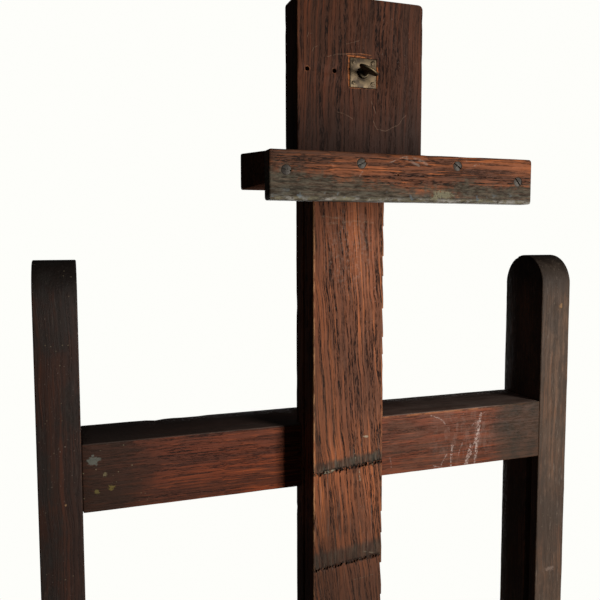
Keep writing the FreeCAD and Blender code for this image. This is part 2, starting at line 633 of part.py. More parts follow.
def ledge(name, face, way, middle, long, holes):
    """The block that the canvas meets: flat on the canvas's side, thicker towards the board."""
    if way > 0:
        outline = [("0", "0"), ("ledge_deep", "0"), ("ledge_deep", "ledge_thick"), ("0", "ledge_thin")]
    else:
        outline = [("0", "ledge_thick - ledge_thin"), ("ledge_deep", "0"), ("ledge_deep", "ledge_thick"),
                   ("0", "ledge_thick")]
    blank = board(name + "_ledge_blank", outline, long,
                  (f"{middle} - {long} / 2", LEDGE_FRONT, span(face, way, "0", "ledge_thick")), ALONG_X)
    return node(cut(name + "_ledge", blank, holes), name + "_ledge")


def lip(name, face, way, middle, long, holes):
    """The strip along the ledge's front that keeps the canvas from slipping off."""
    blank = plank(name + "_lip_blank",
                  (f"{middle} - {long} / 2", LIP_FRONT, span(face, way, "-lip_over", "ledge_thin")),
                  ("lip_thick", "lip_over + ledge_thin", long), ALONG_X, "lip_round")
    return node(cut(name + "_lip", blank, holes), name + "_lip")


def thumbscrew(name, height):
    """A screw with a flat wing; its end presses on the mast through the board."""
    shaft = rod(name + "_thumb_shaft", ("0", "0", "-(plate_proud + holder_thick)"), "thumb_radius",
                "plate_proud + holder_thick + thumb_collar_high + thumb_neck + paddle_high / 2")
    collar = rod(name + "_thumb_collar", ("0", "0", "thumb_play"), "thumb_collar_radius",
                 "thumb_collar_high")
    middle = "thumb_collar_high + thumb_neck + paddle_high / 2"
    ends = [rod(f"{name}_paddle_{i}", (f"{way} * (paddle_long - paddle_high) / 2", "paddle_thick / 2", middle),
                "paddle_high / 2", "paddle_thick", FACING_FRONT)
            for i, way in enumerate(("-1", "1"))]
    web = box(name + "_paddle_web", ("-(paddle_long - paddle_high) / 2", "-paddle_thick / 2",
                                     "thumb_collar_high + thumb_neck"),
              ("paddle_long - paddle_high", "paddle_thick", "paddle_high"))
    whole = fuse(name + "_thumbscrew_whole", [shaft, collar, web] + ends)
    turn = spun(FACING_FRONT, -THUMB_TURN)
    return node(copy_at(name + "_thumbscrew_placed", whole, ("plate_middle", PLATE_FRONT, height), turn),
                name + "_thumbscrew")


def holder(name, face, way, middle, long, lip_screws, board_holes):
    """A whole canvas holder. way is 1 where the board rises from the ledge and -1 where it hangs."""
    plate_height = f"{face} + {way} * plate_rise"

    cheek_spots = []
    for side in SIDES:
        for height in ("cheek_inset + cheek_screw_inset", "holder_high - cheek_inset - cheek_screw_inset"):
            at = (f"{CHEEK_START[side]} + cheek_thick / 2", CHEEK_BACK, f"{face} + {way} * ({height})")
            cheek_spots.append((at, spun(FACING_BACK, 50 * len(cheek_spots))))
    cheek_holes = scatter(name + "_cheek_screws", wood_screw(name + "_cheek_screw", "cheek_screw_long"),
                          cheek_spots)

    rise = f"{face} + {way} * ledge_screw_rise"
    ledge_spots = [((f"{BOARD_LEFT} + ledge_screw_inset", BOARD_BACK, rise), FACING_BACK),
                   ((f"{BOARD_RIGHT} - ledge_screw_inset", BOARD_BACK, rise), spun(FACING_BACK, 70))]
    ledge_holes = scatter(name + "_ledge_screws", wood_screw(name + "_ledge_screw", "ledge_screw_long"),
                          ledge_spots)

    lip_spots = [((f"{middle} + {across}", LIP_FRONT, f"{face} + {way} * {height}"), spun(FACING_FRONT, slope))
                 for across, height, slope in lip_screws]
    lip_holes = scatter(name + "_lip_screws", wood_screw(name + "_lip_screw", "lip_screw_long"), lip_spots)

    inset = "(plate_side / 2 - plate_screw_inset)"
    plate_spots = [((f"plate_middle + {across} * {inset}", PLATE_FRONT, f"{plate_height} + {up} * {inset}"),
                    spun(FACING_FRONT, 40 * (2 * across + up)))
                   for across in (-1, 1) for up in (-1, 1)]
    plate_holes = scatter(name + "_plate_screws", plate_screw(name + "_plate_screw", "plate_screw_long"),
                          plate_spots)
    bore = rod(name + "_thumb_bore", ("plate_middle", f"{BOARD_BACK} + 1", plate_height),
               "thumb_radius + thumb_play", "holder_thick + plate_proud + 2", FACING_FRONT)
    recess = box(name + "_plate_recess",
                 ("plate_middle - plate_side / 2 - plate_gap", f"{BOARD_FRONT} - 1",
                  f"{plate_height} - plate_side / 2 - plate_gap"),
                 ("plate_side + 2 * plate_gap", "plate_thick - plate_proud + 1", "plate_side + 2 * plate_gap"))

    holder_board(name, face, way, cheek_holes + ledge_holes + plate_holes + [bore, recess] + board_holes)
    for i, side in enumerate(SIDES):
        cheek(name, side, face, way, cheek_holes[2 * i:2 * i + 2])
    ledge(name, face, way, middle, long, ledge_holes + lip_holes)
    lip(name, face, way, middle, long, lip_holes)
    blank = box(name + "_plate_blank",
                ("plate_middle - plate_side / 2", PLATE_FRONT, f"{plate_height} - plate_side / 2"),
                ("plate_side", "plate_thick", "plate_side"))
    node(cut(name + "_screw_plate", blank, [bore] + plate_holes), name + "_screw_plate")
    thumbscrew(name, plate_height)


THUMB_TURN = dict((alias, value) for alias, value, note in DIMENSIONS)["thumb_turn"]

# Lip screws: across from the ledge's middle, up from its canvas side, and the slot's slope.
HEAD_LIP_SCREWS = [(-100.7, 9.2, -10), (-40.7, 15.7, 25), (42.8, 16.5, -35), (100.2, 5.4, -50)]
TRAY_LIP_SCREWS = [(-270 + 108 * i, 10 + 3 * (i % 2), 37 * i) for i in range(6)]

nail_holes = [rod(f"nail_hole_{name}", (f"plate_middle - {name}", f"{BOARD_FRONT} + nail_deep",
                                        "head_face + plate_rise"), "nail_radius", "nail_deep + 1", FACING_FRONT)
              for name in ("nail_near", "nail_far")]
holder("head", "head_face", 1, "head_ledge_middle", "head_ledge_long", HEAD_LIP_SCREWS, nail_holes)
holder("tray", "tray_face", -1, "tray_ledge_middle", "tray_ledge_long", TRAY_LIP_SCREWS, [])

# ---------------------------------------------------------------- check and write

doc.recompute()
for thing in doc.Objects:
    if "Invalid" in thing.State or "Error" in thing.State:
        raise RuntimeError(f"{thing.Name} failed: {thing.State}")
for thing in nodes:
    if thing.Shape.isNull() or not thing.Shape.isValid() or not thing.Shape.Solids:
        raise RuntimeError(f"{thing.Label} has no sound shape")

os.makedirs("parts", exist_ok=True)
for thing in nodes:
    thing.Shape.exportStep(f"parts/{thing.Label}.step")
    size = thing.Shape.BoundBox
    print(f"{thing.Label:22s} {len(thing.Shape.Solids)} solids, {thing.Shape.Volume / 1000:8.1f} cm3, "
          f"X {size.XMin:.1f} {size.XMax:.1f}, Y {size.YMin:.1f} {size.YMax:.1f}, "
          f"Z {size.ZMin:.1f} {size.ZMax:.1f}")
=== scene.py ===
import json
import math
import random

import bmesh
import bpy
from mathutils import Matrix, Vector, noise


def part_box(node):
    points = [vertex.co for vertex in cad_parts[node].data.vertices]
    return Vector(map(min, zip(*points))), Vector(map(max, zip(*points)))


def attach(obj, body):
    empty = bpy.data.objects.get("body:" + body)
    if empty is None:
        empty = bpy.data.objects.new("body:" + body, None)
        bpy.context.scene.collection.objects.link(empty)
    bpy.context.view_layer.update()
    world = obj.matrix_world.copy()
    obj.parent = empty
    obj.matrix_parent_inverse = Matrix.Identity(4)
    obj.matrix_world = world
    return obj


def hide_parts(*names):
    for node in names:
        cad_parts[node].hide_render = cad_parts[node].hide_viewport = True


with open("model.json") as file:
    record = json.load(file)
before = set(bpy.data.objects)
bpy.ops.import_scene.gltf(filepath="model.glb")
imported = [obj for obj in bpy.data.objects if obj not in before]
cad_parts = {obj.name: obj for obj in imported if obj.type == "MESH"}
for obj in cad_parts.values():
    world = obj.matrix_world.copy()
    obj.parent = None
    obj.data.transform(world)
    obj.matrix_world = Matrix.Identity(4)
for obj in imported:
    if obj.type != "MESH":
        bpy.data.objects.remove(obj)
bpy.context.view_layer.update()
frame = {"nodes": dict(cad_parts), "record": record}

# Everything is in metres, in the frame's axes: +X to the right seen from the front, the front
# faces -Y, +Z up. MM turns millimetres into metres.
MM = 0.001

# ---------------------------------------------------------------- places, read from the frame

POST_LOW, POST_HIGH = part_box("left_post")
RIGHT_LOW, RIGHT_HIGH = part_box("right_post")
RAIL_LOW, RAIL_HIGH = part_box("upper_rail")
MAST_LOW, MAST_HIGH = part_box("mast")
BOARD_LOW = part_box("head_board")[0]
PLATE_LOW, PLATE_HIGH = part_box("head_screw_plate")
POST_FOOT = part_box("left_foot")[1].z
POST_TOP = POST_FOOT + 1330 * MM
POST_FRONT = RAIL_LOW.y
POST_BACK = RAIL_HIGH.y
MAST_MIDDLE = (MAST_LOW.x + MAST_HIGH.x) / 2
# Where a holder's clamp has marked the mast's front, and how much those marks rise to the right.
UPPER_BAND = POST_TOP - 203.5 * MM
LOWER_BAND = POST_TOP - 299 * MM
BAND_SLOPE = 0.084


def body_of_node(node):
    for body, nodes in frame["record"]["behaviour"]["bodies"].items():
        if node in nodes:
            return body


def slot_of_node(node):
    for part in frame["record"]["subparts"]:
        if part["node"] == node:
            return part["material_slot"]


# ---------------------------------------------------------------- node graphs

class Value:
    """A shader node's output, which adds a maths node wherever it is used in arithmetic."""

    def __init__(self, graph, socket):
        self.graph = graph
        self.socket = socket

    def __add__(self, other):
        return self.graph.math("ADD", self, other)

    def __sub__(self, other):
        return self.graph.math("SUBTRACT", self, other)

    def __rsub__(self, other):
        return self.graph.math("SUBTRACT", other, self)

    def __mul__(self, other):
        return self.graph.math("MULTIPLY", self, other)


class Graph:
    """Short calls that each add one shader node and return its output as a Value."""

    def __init__(self, name):
        self.material = bpy.data.materials.new(name)
        self.material.use_nodes = True
        self.nodes = self.material.node_tree.nodes
        self.links = self.material.node_tree.links
        self.shader = self.nodes["Principled BSDF"]

    def put(self, socket, value):
        if isinstance(value, Value):
            self.links.new(value.socket, socket)
        elif value is not None:
            socket.default_value = value

    def math(self, operation, first, second=None, clamp=False):
        node = self.nodes.new("ShaderNodeMath")
        node.operation = operation
        node.use_clamp = clamp
        self.put(node.inputs[0], first)
        self.put(node.inputs[1], second)
        return Value(self, node.outputs[0])

    def either(self, first, second):
        return self.math("MAXIMUM", first, second)

    def step(self, value, start, end):
        """0 below start and 1 above end, smooth between; the other way round where end < start."""
        node = self.nodes.new("ShaderNodeMapRange")
        node.interpolation_type = "SMOOTHSTEP"
        low, high = (0.0, 1.0) if start < end else (1.0, 0.0)
        for name, number in (("From Min", min(start, end)), ("From Max", max(start, end)),
                             ("To Min", low), ("To Max", high)):
            node.inputs[name].default_value = number
        self.put(node.inputs["Value"], value)
        return Value(self, node.outputs["Result"])

    def spots(self, place, scale, detail, rough, start, end, shift=0.0):
        """Spots of noise with soft edges."""
        return self.step(self.noise(place, scale, detail, rough, shift), start, end)

    def ramp(self, value, low, high):
        """value from 0 to 1 spread evenly from low to high."""
        node = self.nodes.new("ShaderNodeMapRange")
        node.inputs["To Min"].default_value = low
        node.inputs["To Max"].default_value = high
        self.put(node.inputs["Value"], value)
        return Value(self, node.outputs["Result"])

    def mix(self, share, first, second):
        node = self.nodes.new("ShaderNodeMix")
        node.data_type = "RGBA"
        self.put(node.inputs["Factor"], share)
        for socket, colour in ((node.inputs[6], first), (node.inputs[7], second)):
            self.put(socket, colour if isinstance(colour, Value) else (*colour, 1.0))
        return Value(self, node.outputs[2])

    def split(self, vector):
        node = self.nodes.new("ShaderNodeSeparateXYZ")
        self.put(node.inputs[0], vector)
        return tuple(Value(self, output) for output in node.outputs)

    def join(self, x, y, z):
        node = self.nodes.new("ShaderNodeCombineXYZ")
        for socket, value in zip(node.inputs, (x, y, z)):
            self.put(socket, value)
        return Value(self, node.outputs[0])

    def vector(self, operation, first, second):
        node = self.nodes.new("ShaderNodeVectorMath")
        node.operation = operation
        self.put(node.inputs[0], first)
        self.put(node.inputs[1], second)
        single = operation in ("LENGTH", "DOT_PRODUCT")
        return Value(self, node.outputs["Value" if single else "Vector"])

    def place(self):
        return Value(self, self.nodes.new("ShaderNodeTexCoord").outputs["Object"])

    def stretch(self, vector, x, y, z, shift=0.0):
        moved = self.vector("ADD", vector, (shift, shift * 0.7, shift * 1.3))
        return self.vector("MULTIPLY", moved, (x, y, z))

    def noise(self, vector, scale=1.0, detail=2.0, rough=0.5, shift=0.0):
        """Noise from 0 to 1. scale is one number, or one for each axis."""
        if isinstance(scale, tuple):
            vector = self.stretch(vector, *scale, shift)
            scale = 1.0
        node = self.nodes.new("ShaderNodeTexNoise")
        self.put(node.inputs["Vector"], vector)
        node.inputs["Scale"].default_value = scale
        node.inputs["Detail"].default_value = detail
        node.inputs["Roughness"].default_value = rough
        return Value(self, node.outputs[0])

    def cells(self, vector, scale=1.0, spread=1.0):
        node = self.nodes.new("ShaderNodeTexVoronoi")
        self.put(node.inputs["Vector"], vector)
        node.inputs["Scale"].default_value = scale
        node.inputs["Randomness"].default_value = spread
        return Value(self, node.outputs["Distance"])

    def near(self, vector, centre, size):
        """1 at a place and 0 beyond an ellipsoid of that half size around it."""
        offset = self.vector("SUBTRACT", vector, centre)
        scaled = self.vector("MULTIPLY", offset, tuple(1 / side for side in size))
        return self.step(self.vector("LENGTH", scaled, None), 1.0, 0.4)

    def edges(self, radius):
        """1 on convex and concave edges, 0 on flats, from how far a rounded normal turns."""
        bevel = self.nodes.new("ShaderNodeBevel")
        bevel.samples = 6
        bevel.inputs["Radius"].default_value = radius
        normal = self.nodes.new("ShaderNodeNewGeometry").outputs["Normal"]
        return 1.0 - self.vector("DOT_PRODUCT", Value(self, bevel.outputs[0]), Value(self, normal))

    def bump(self, height, depth, strength=1.0, under=None):
        node = self.nodes.new("ShaderNodeBump")
        node.inputs["Strength"].default_value = strength
        node.inputs["Distance"].default_value = depth
        self.put(node.inputs["Height"], height)
        self.put(node.inputs["Normal"], under)
        return Value(self, node.outputs[0])

    def finish(self, colour, roughness, normal=None, metallic=0.0):
        self.put(self.shader.inputs["Base Color"], colour)
        self.put(self.shader.inputs["Roughness"], roughness)
        self.put(self.shader.inputs["Normal"], normal)
        self.shader.inputs["Metallic"].default_value = metallic
        return self.material


# ---------------------------------------------------------------- oak

# Linear colours of the wood under its old finish.
PORE = (0.012, 0.008, 0.007)
RED_OAK = (0.20, 0.066, 0.030)
ORANGE_OAK = (0.34, 0.125, 0.048)
BROWN_OAK = (0.115, 0.050, 0.030)
DARK_OAK = (0.050, 0.026, 0.020)
# A weathered grey that, on the right post, also stands for a painted sheen.
GREY_WEAR_AND_SHEEN = (0.090, 0.070, 0.055)
RAW_EDGE = (0.36, 0.135, 0.055)
DUST = (0.42, 0.36, 0.30)

# The order of a board's axes that puts its grain last.
GRAIN_ORDER = {"x": (1, 2, 0), "y": (2, 0, 1), "z": (0, 1, 2)}


def oak(name, grain, seed, light=RED_OAK, deep=BROWN_OAK, glow=ORANGE_OAK, pores=1.0, grey=0.0,
        drift=0.0, tilt=0.0, edge_wear=0.8, shine=0.13, extra=None):
    """Old stained oak. grain is the board's long axis, drift slants the grain across the face."""
    g = Graph(name)
    place = g.place()
    if tilt:
        rotate = g.nodes.new("ShaderNodeVectorRotate")
        rotate.rotation_type = "X_AXIS"
        rotate.inputs["Angle"].default_value = tilt
        g.put(rotate.inputs["Vector"], place)
        place_along = Value(g, rotate.outputs[0])
    else:
        place_along = place
    axes = g.split(place_along)
    across, depth, along = (axes[i] for i in GRAIN_ORDER[grain])

    # The grain wanders slowly from side to side along the board.
    slow = g.noise(g.join(along * 2.2, seed * 3.1, across * 3.0), 1.0, 1.0)
    ripple = g.noise(g.join(along * 16.0, seed * 1.7, across * 30.0), 1.0, 2.0)
    sway = (slow - 0.5) * 0.034 + (ripple - 0.5) * 0.0085
    bent = across + sway + along * drift
    wood = g.join(bent, depth, along)

    # Broad growth rings, then long dark lines a few millimetres apart.
    rings = g.noise(wood, (95.0, 95.0, 1.3), 2.0, 0.6, seed)
    band = g.step(rings, 0.42, 0.62)
    line = g.noise(wood, (500.0, 500.0, 11.0), 3.0, 0.7, seed + 4)
    dark_line = g.step(line, 0.47, 0.565)
    gold = g.noise(wood, (560.0, 560.0, 11.0), 2.0, 0.6, seed + 6)
    gold_line = g.step(gold, 0.50, 0.68) * (1.0 - dark_line) * 0.75
    # Open pores: short black dashes strung along the dark lines.
    dash = g.noise(wood, (1000.0, 1000.0, 150.0), 2.0, 0.7, seed + 9)
    fine = g.noise(wood, (1900.0, 1900.0, 160.0), 1.0, 0.5, seed + 2)
    pore = g.step(dash, 0.48, 0.55) * g.ramp(dark_line, 0.08, 1.0)
    pore = g.either(pore, g.step(fine, 0.58, 0.68) * 0.35)
    pore = pore * g.ramp(band, 0.45, 1.0) * pores

    patch = g.noise(place, 9.0, 3.0, 0.6)
    cloud = g.noise(g.stretch(place, 1.0, 1.0, 1.0, seed + 7), 3.2, 2.0, 0.5)
    tone = g.noise(wood, (60.0, 60.0, 5.0), 3.0, 0.6, seed + 1)
    colour = g.mix(g.step(tone, 0.35, 0.65), deep, light)
    colour = g.mix(gold_line * g.ramp(patch, 0.35, 1.25), colour, glow)
    colour = g.mix(dark_line * 0.74, colour, g.mix(0.35, deep, PORE))
    colour = g.mix(band * 0.22, colour, deep)
    colour = g.mix(g.step(cloud, 0.42, 0.70) * 0.45, colour, DARK_OAK)
    # Grey patches: partly weathered grey wood, partly a painted sheen of light on the face.
    if grey:
        haze = g.spots(place, 14.0, 4.0, 0.6, 0.35, 0.7) * grey
        colour = g.mix(haze, colour, GREY_WEAR_AND_SHEEN)
    colour = g.mix(g.math("MINIMUM", pore * 0.95, 0.97), colour, PORE)

    # Worn edges show raw orange wood, broken up along their length.
    edge = g.step(g.edges(2.0 * MM), 0.012, 0.09)
    broken = g.spots(place, 120.0, 3.0, 0.7, 0.42, 0.60)
    worn = edge * broken * edge_wear
    colour = g.mix(worn, colour, RAW_EDGE)

    # Fine pale scratches and dust in them.
    scuff = g.noise(place, (620.0, 480.0, 700.0), 2.0, 0.6, seed + 5)
    speck = g.step(scuff, 0.70, 0.75) * g.step(patch, 0.45, 0.60) * 0.5
    colour = g.mix(speck, colour, DUST)

    rough = g.ramp(g.noise(place, 30.0, 3.0, 0.6), 0.50, 0.70)
    rough = rough + pore * 0.2
    height = pore * -0.9 + dark_line * -0.35
    height = height + fine * 0.1
    if extra:
        colour, rough, height = extra(g, place, colour, rough, height)
    normal = g.bump(height, 0.35 * MM, 0.7)
    dents = g.noise(place, 60.0, 2.0, 0.5)
    normal = g.bump(dents, 0.6 * MM, 0.35, normal)
    g.shader.inputs["Specular IOR Level"].default_value = shine
    return g.finish(colour, g.math("MINIMUM", rough, 0.9), normal)


# ---------------------------------------------------------------- worn boards

ARC = (0.0, math.radians(30), math.radians(60), math.radians(90))


class Wear:
    """How a board's four long edges are worn: an uneven radius, with chips here and there."""

    def __init__(self, seed, radius, chips, chip_size, teeth=()):
        self.seed = seed
        self.radius = radius
        self.teeth = teeth
        self.draw = random.Random(seed)
        self.chips = []
        for _ in range(chips):
            self.chips.append((self.draw.randrange(4), self.draw.random(),
                               chip_size * (0.4 + self.draw.random()), 2 + 6 * self.draw.random()))

    def at(self, corner, share, along):
        """The edge's radius at a corner, share of the board's length and metres along it."""
        wander = noise.noise(Vector((along * 17.0, corner * 5.3, self.seed * 1.9)))
        quick = noise.noise(Vector((along * 90.0, corner * 3.3, self.seed * 0.7)))
        radius = self.radius * (1.0 + 0.45 * wander + 0.30 * quick)
        for chip_corner, middle, size, stretch in self.chips:
            if chip_corner == corner:
                gap = abs(share - middle) * self.length / (size * stretch)
                if gap < 1:
                    radius += size * (1 - gap * gap)
        for tooth_corner, place, depth, length in self.teeth:
            if tooth_corner == corner:
                past = (place - along) / length
                if 0 <= past < 1:
                    radius += depth * (1 - past)
        return max(radius, 0.25 * MM)


def ring_of(low, high, radii):
    """One cross-section: a rectangle with a round corner of its own radius at each corner."""
    corners = ((high[0], low[1], -1, 1), (high[0], high[1], -1, -1),
               (low[0], high[1], 1, -1), (low[0], low[1], 1, 1))
    points = []
    for i, (u, v, inward_u, inward_v) in enumerate(corners):
        radius = radii[i]
        turn = ARC if i % 2 else tuple(reversed(ARC))
        for angle in turn:
            points.append((u + inward_u * radius * (1 - math.cos(angle)),
                           v + inward_v * radius * (1 - math.sin(angle))))
    return points


def stations(length, pitch, radius, extra=()):
    """Places along a board: close together at its rounded ends and at any extra place."""
    count = max(2, round(length / pitch))
    middle = [radius + (length - 2 * radius) * i / count for i in range(count + 1)]
    ends = [radius * (1 - math.sin(angle)) for angle in ARC[1:]]
    places = ends + middle + [length - place for place in ends] + list(extra)
    return sorted(set(round(place, 6) for place in places if 0 <= place <= length))


def unfold(grain, across, depth, along):
    """From a board's own across, depth and along to the frame's X, Y and Z."""
    order = GRAIN_ORDER[grain]
    point = [0.0, 0.0, 0.0]
    for axis, value in zip(order, (across, depth, along)):
        point[axis] = value
    return point


def stand(name, data):
    """An object of this name in the scene that shows a mesh, light or camera."""
    thing = bpy.data.objects.new(name, data)
    bpy.context.scene.collection.objects.link(thing)
    return thing


def skin(name, rings):
    """A closed mesh through rings of the same number of points."""
    size = len(rings[0])
    points = [point for ring in rings for point in ring]
    faces = []
    for i in range(len(rings) - 1):
        for j in range(size):
            after = (j + 1) % size
            faces.append((i * size + j, i * size + after, (i + 1) * size + after, (i + 1) * size + j))
    faces.append(tuple(reversed(range(size))))
    last = (len(rings) - 1) * size
    faces.append(tuple(range(last, last + size)))
    mesh = bpy.data.meshes.new(name)
    mesh.from_pydata(points, [], faces)
    piece = stand(name, mesh)
    work = bmesh.new()
    work.from_mesh(mesh)
    bmesh.ops.recalc_face_normals(work, faces=work.faces)
    work.to_mesh(mesh)
    work.free()
    return piece


def plank(name, low, high, grain, wear, pitch=9 * MM, shape=None, more=()):
    """A straight board between two corners, with worn edges.

    shape may move each ring's corners, and more lists extra places for rings along the board."""
    order = GRAIN_ORDER[grain]
    low_own = [low[axis] for axis in order]
    high_own = [high[axis] for axis in order]
    length = high_own[2] - low_own[2]
    wear.length = length
    end_radius = wear.radius * 1.1
    teeth_places = []
    for _, place, _, _ in wear.teeth:
        teeth_places += [place - low_own[2] - 0.3 * MM, place - low_own[2] + 0.2 * MM]
    rings = []
    for along in stations(length, pitch, end_radius, teeth_places + list(more)):
        share = along / length
        end_gap = min(along, length - along)
        inset = 0.0
        if end_gap < end_radius:
            inset = end_radius - math.sqrt(max(end_radius ** 2 - (end_radius - end_gap) ** 2, 0))
        radii = [wear.at(corner, share, low_own[2] + along) + inset * 0.6 for corner in range(4)]
        near = [low_own[0] + inset, low_own[1] + inset]
        far = [high_own[0] - inset, high_own[1] - inset]
        if shape:
            near, far = shape(share, near, far)
        ring = ring_of(near, far, radii)
        rings.append([unfold(grain, u, v, low_own[2] + along) for u, v in ring])
    return skin(name, rings)


def block(low, high):
    """A plain box, used to cut grooves, notches and slots."""
    corners = [[(low[0], low[1], z), (high[0], low[1], z), (high[0], high[1], z), (low[0], high[1], z)]
               for z in (low[2], high[2])]
    return skin("cutter", corners)


def angles(sides):
    """Evenly spaced angles once round."""
    return [2 * math.pi * i / sides for i in range(sides)]


def drum(centre, axis, radius, length, sides=32, end_radius=None):
    """A plain round bar from centre along an axis, used to cut holes and countersinks."""
    turn = Vector(axis).to_track_quat("Z", "Y").to_matrix()
    rings = []
    for along, size in ((0.0, radius), (length, end_radius or radius)):
        ring = [Vector((size * math.cos(angle), size * math.sin(angle), along)) for angle in angles(sides)]
        rings.append([Vector(centre) + turn @ point for point in ring])
    return skin("cutter", rings)


def tidy(mesh):
    """Welds stray corners and drops slivers, so that a cut leaves a clean solid."""
    work = bmesh.new()
    work.from_mesh(mesh)
    bmesh.ops.remove_doubles(work, verts=work.verts, dist=0.01 * MM)
    bmesh.ops.dissolve_degenerate(work, edges=work.edges, dist=0.01 * MM)
    bmesh.ops.triangulate(work, faces=[face for face in work.faces if len(face.verts) > 4])
    bmesh.ops.recalc_face_normals(work, faces=work.faces)
    work.to_mesh(mesh)
    work.free()


def volume_of(piece):
    work = bmesh.new()
    work.from_mesh(piece.data)
    size = work.calc_volume()
    work.free()
    return size


def apply_modifiers(piece):
    graph = bpy.context.evaluated_depsgraph_get()
    shaped = bpy.data.meshes.new_from_object(piece.evaluated_get(graph))
    piece.modifiers.clear()
    piece.data = shaped


def soften(piece, width, segments, angle):
    """Bevels the edges that turn by more than an angle in degrees."""
    bevel = piece.modifiers.new("soften", "BEVEL")
    bevel.width = width
    bevel.segments = segments
    bevel.limit_method = "ANGLE"
    bevel.angle_limit = math.radians(angle)
    apply_modifiers(piece)


def carve(piece, cutters, edge=0.5 * MM):
    """Cuts shapes out of a board one by one and takes the sharpness off the new edges."""
    tidy(piece.data)
    for cutter in cutters:
        tidy(cutter.data)
        before = volume_of(piece)
        hole = piece.modifiers.new("hole", "BOOLEAN")
        hole.operation = "DIFFERENCE"
        hole.solver = "EXACT"
        hole.object = cutter
        whole = piece.data.copy()
        apply_modifiers(piece)
        after = volume_of(piece)
        if not 0.3 * before < after < 1.0001 * before:
            print("cut left out of", piece.name, cutter.name, before, after)
            piece.data = whole
        tidy(piece.data)
        bpy.data.objects.remove(cutter)
    if cutters and edge:
        soften(piece, edge, 2, 55)
    return piece


def dress(piece, material, *nodes, smooth=35):
    """Gives a piece its material and its body, and stands it for its CAD nodes."""
    piece.data.materials.clear()
    piece.data.materials.append(material)
    piece.data.shade_smooth()
    piece.data.set_sharp_from_angle(angle=math.radians(smooth))
    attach(piece, body_of_node(nodes[0]))
    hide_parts(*nodes)
    slot_of_node(nodes[0])
    return piece


def solids(node):
    """The centre, lowest and highest corner of each separate solid in a CAD node."""
    work = bmesh.new()
    work.from_mesh(frame["nodes"][node].data)
    bmesh.ops.remove_doubles(work, verts=work.verts, dist=0.001 * MM)
    left = set(work.verts)
    found = []
    while left:
        stack = [left.pop()]
        mine = list(stack)
        while stack:
            for edge in stack.pop().link_edges:
                for point in edge.verts:
                    if point in left:
                        left.remove(point)
                        stack.append(point)
                        mine.append(point)
        low = Vector([min(point.co[i] for point in mine) for i in range(3)])
        high = Vector([max(point.co[i] for point in mine) for i in range(3)])
        found.append(((low + high) / 2, low, high))
    work.free()
    return sorted(found, key=lambda solid: tuple(round(value, 5) for value in solid[0]))


def slab(name, outline, axis_low, axis_high, wear, pitch=12 * MM):
    """A board cut to an outline in Y and Z, between two X places, with worn edges all round."""
    points = []
    count = len(outline)
    for i in range(count):
        start, end = Vector(outline[i]), Vector(outline[(i + 1) % count])
        steps = max(1, round((end - start).length / pitch))
        points += [start.lerp(end, k / steps) for k in range(steps)]
    count = len(points)
    wear.length = sum((points[i] - points[i - 1]).length for i in range(count))
    inward = []
    for i in range(count):
        before = (points[i] - points[i - 1]).normalized()
        after = (points[(i + 1) % count] - points[i]).normalized()
        mitre = Vector((-before.y - after.y, before.x + after.x)).normalized()
        inward.append(mitre / max(mitre.dot(Vector((-before.y, before.x))), 0.5))
    half = count // 2
    rings = []
    for side, start, way in ((0, axis_low, 1), (1, axis_high, -1)):
        for angle in reversed(ARC) if side == 0 else ARC:
            ring = []
            for i, point in enumerate(points):
                corner = side * 2 + (1 if i > half else 0)
                radius = wear.at(corner, i / count, point.y + point.x)
                inset = inward[i] * radius * (1 - math.cos(angle))
                ring.append((start + way * radius * (1 - math.sin(angle)),
                             point.x + inset.x, point.y + inset.y))
            rings.append(ring)
    return skin(name, rings)


def rounded(outline, radius, steps=4):
    """An outline with its corners rounded."""
    result = []
    for i, corner in enumerate(outline):
        corner = Vector(corner)
        back = (Vector(outline[i - 1]) - corner).normalized()
        ahead = (Vector(outline[(i + 1) % len(outline)]) - corner).normalized()
        start, end = corner + back * radius, corner + ahead * radius
        for k in range(steps + 1):
            share = k / steps
            result.append(tuple(start.lerp(corner, share).lerp(corner.lerp(end, share), share)))
    return result


# ---------------------------------------------------------------- metal finishes

def old_iron(name, base=(0.055, 0.048, 0.042), rust=(0.10, 0.045, 0.022), bright=(0.30, 0.27, 0.24)):
    """Dark iron gone brown, with brighter worn edges."""
    g = Graph(name)
    place = g.place()
    blotch = g.noise(place, 380.0, 4.0, 0.65)
    colour = g.mix(g.step(blotch, 0.45, 0.65), base, rust)
    edge = g.step(g.edges(0.5 * MM), 0.02, 0.2) * g.spots(place, 900.0, 2.0, 0.5, 0.3, 0.6)
    colour = g.mix(edge * 0.75, colour, bright)
    rough = g.ramp(blotch, 0.35, 0.70)
    normal = g.bump(g.noise(place, 900.0, 3.0, 0.6), 0.12 * MM, 0.5)
    return g.finish(colour, rough, normal, 0.75)


def old_brass(name, base, tarnish, bright):
    """Brass dulled brown, rubbed bright on its edges."""
    g = Graph(name)
    place = g.place()
    blotch = g.noise(place, 170.0, 4.0, 0.6)
    brushed = g.noise(place, (2500.0, 300.0, 300.0), 2.0, 0.5)
    colour = g.mix(g.step(blotch, 0.40, 0.66), base, tarnish)
    edge = g.step(g.edges(0.6 * MM), 0.02, 0.22) * g.spots(place, 700.0, 2.0, 0.5, 0.25, 0.6)
    colour = g.mix(edge * 0.7, colour, bright)
    rough = g.ramp(blotch, 0.34, 0.58) + brushed * 0.12
    normal = g.bump(blotch + brushed * 0.4, 0.10 * MM, 0.5)
    return g.finish(colour, rough, normal, 0.9)


IRON = old_iron("old_iron")
SCREW_IRON = old_iron("screw_iron", (0.027, 0.023, 0.019), (0.017, 0.012, 0.009), (0.090, 0.078, 0.062))
BRASS = old_brass("old_brass", (0.110, 0.082, 0.046), (0.050, 0.039, 0.026), (0.36, 0.27, 0.16))
PLATE_BRASS = old_brass("plate_brass", (0.100, 0.073, 0.043), (0.050, 0.037, 0.026), (0.19, 0.145, 0.095))

# ---------------------------------------------------------------- fasteners

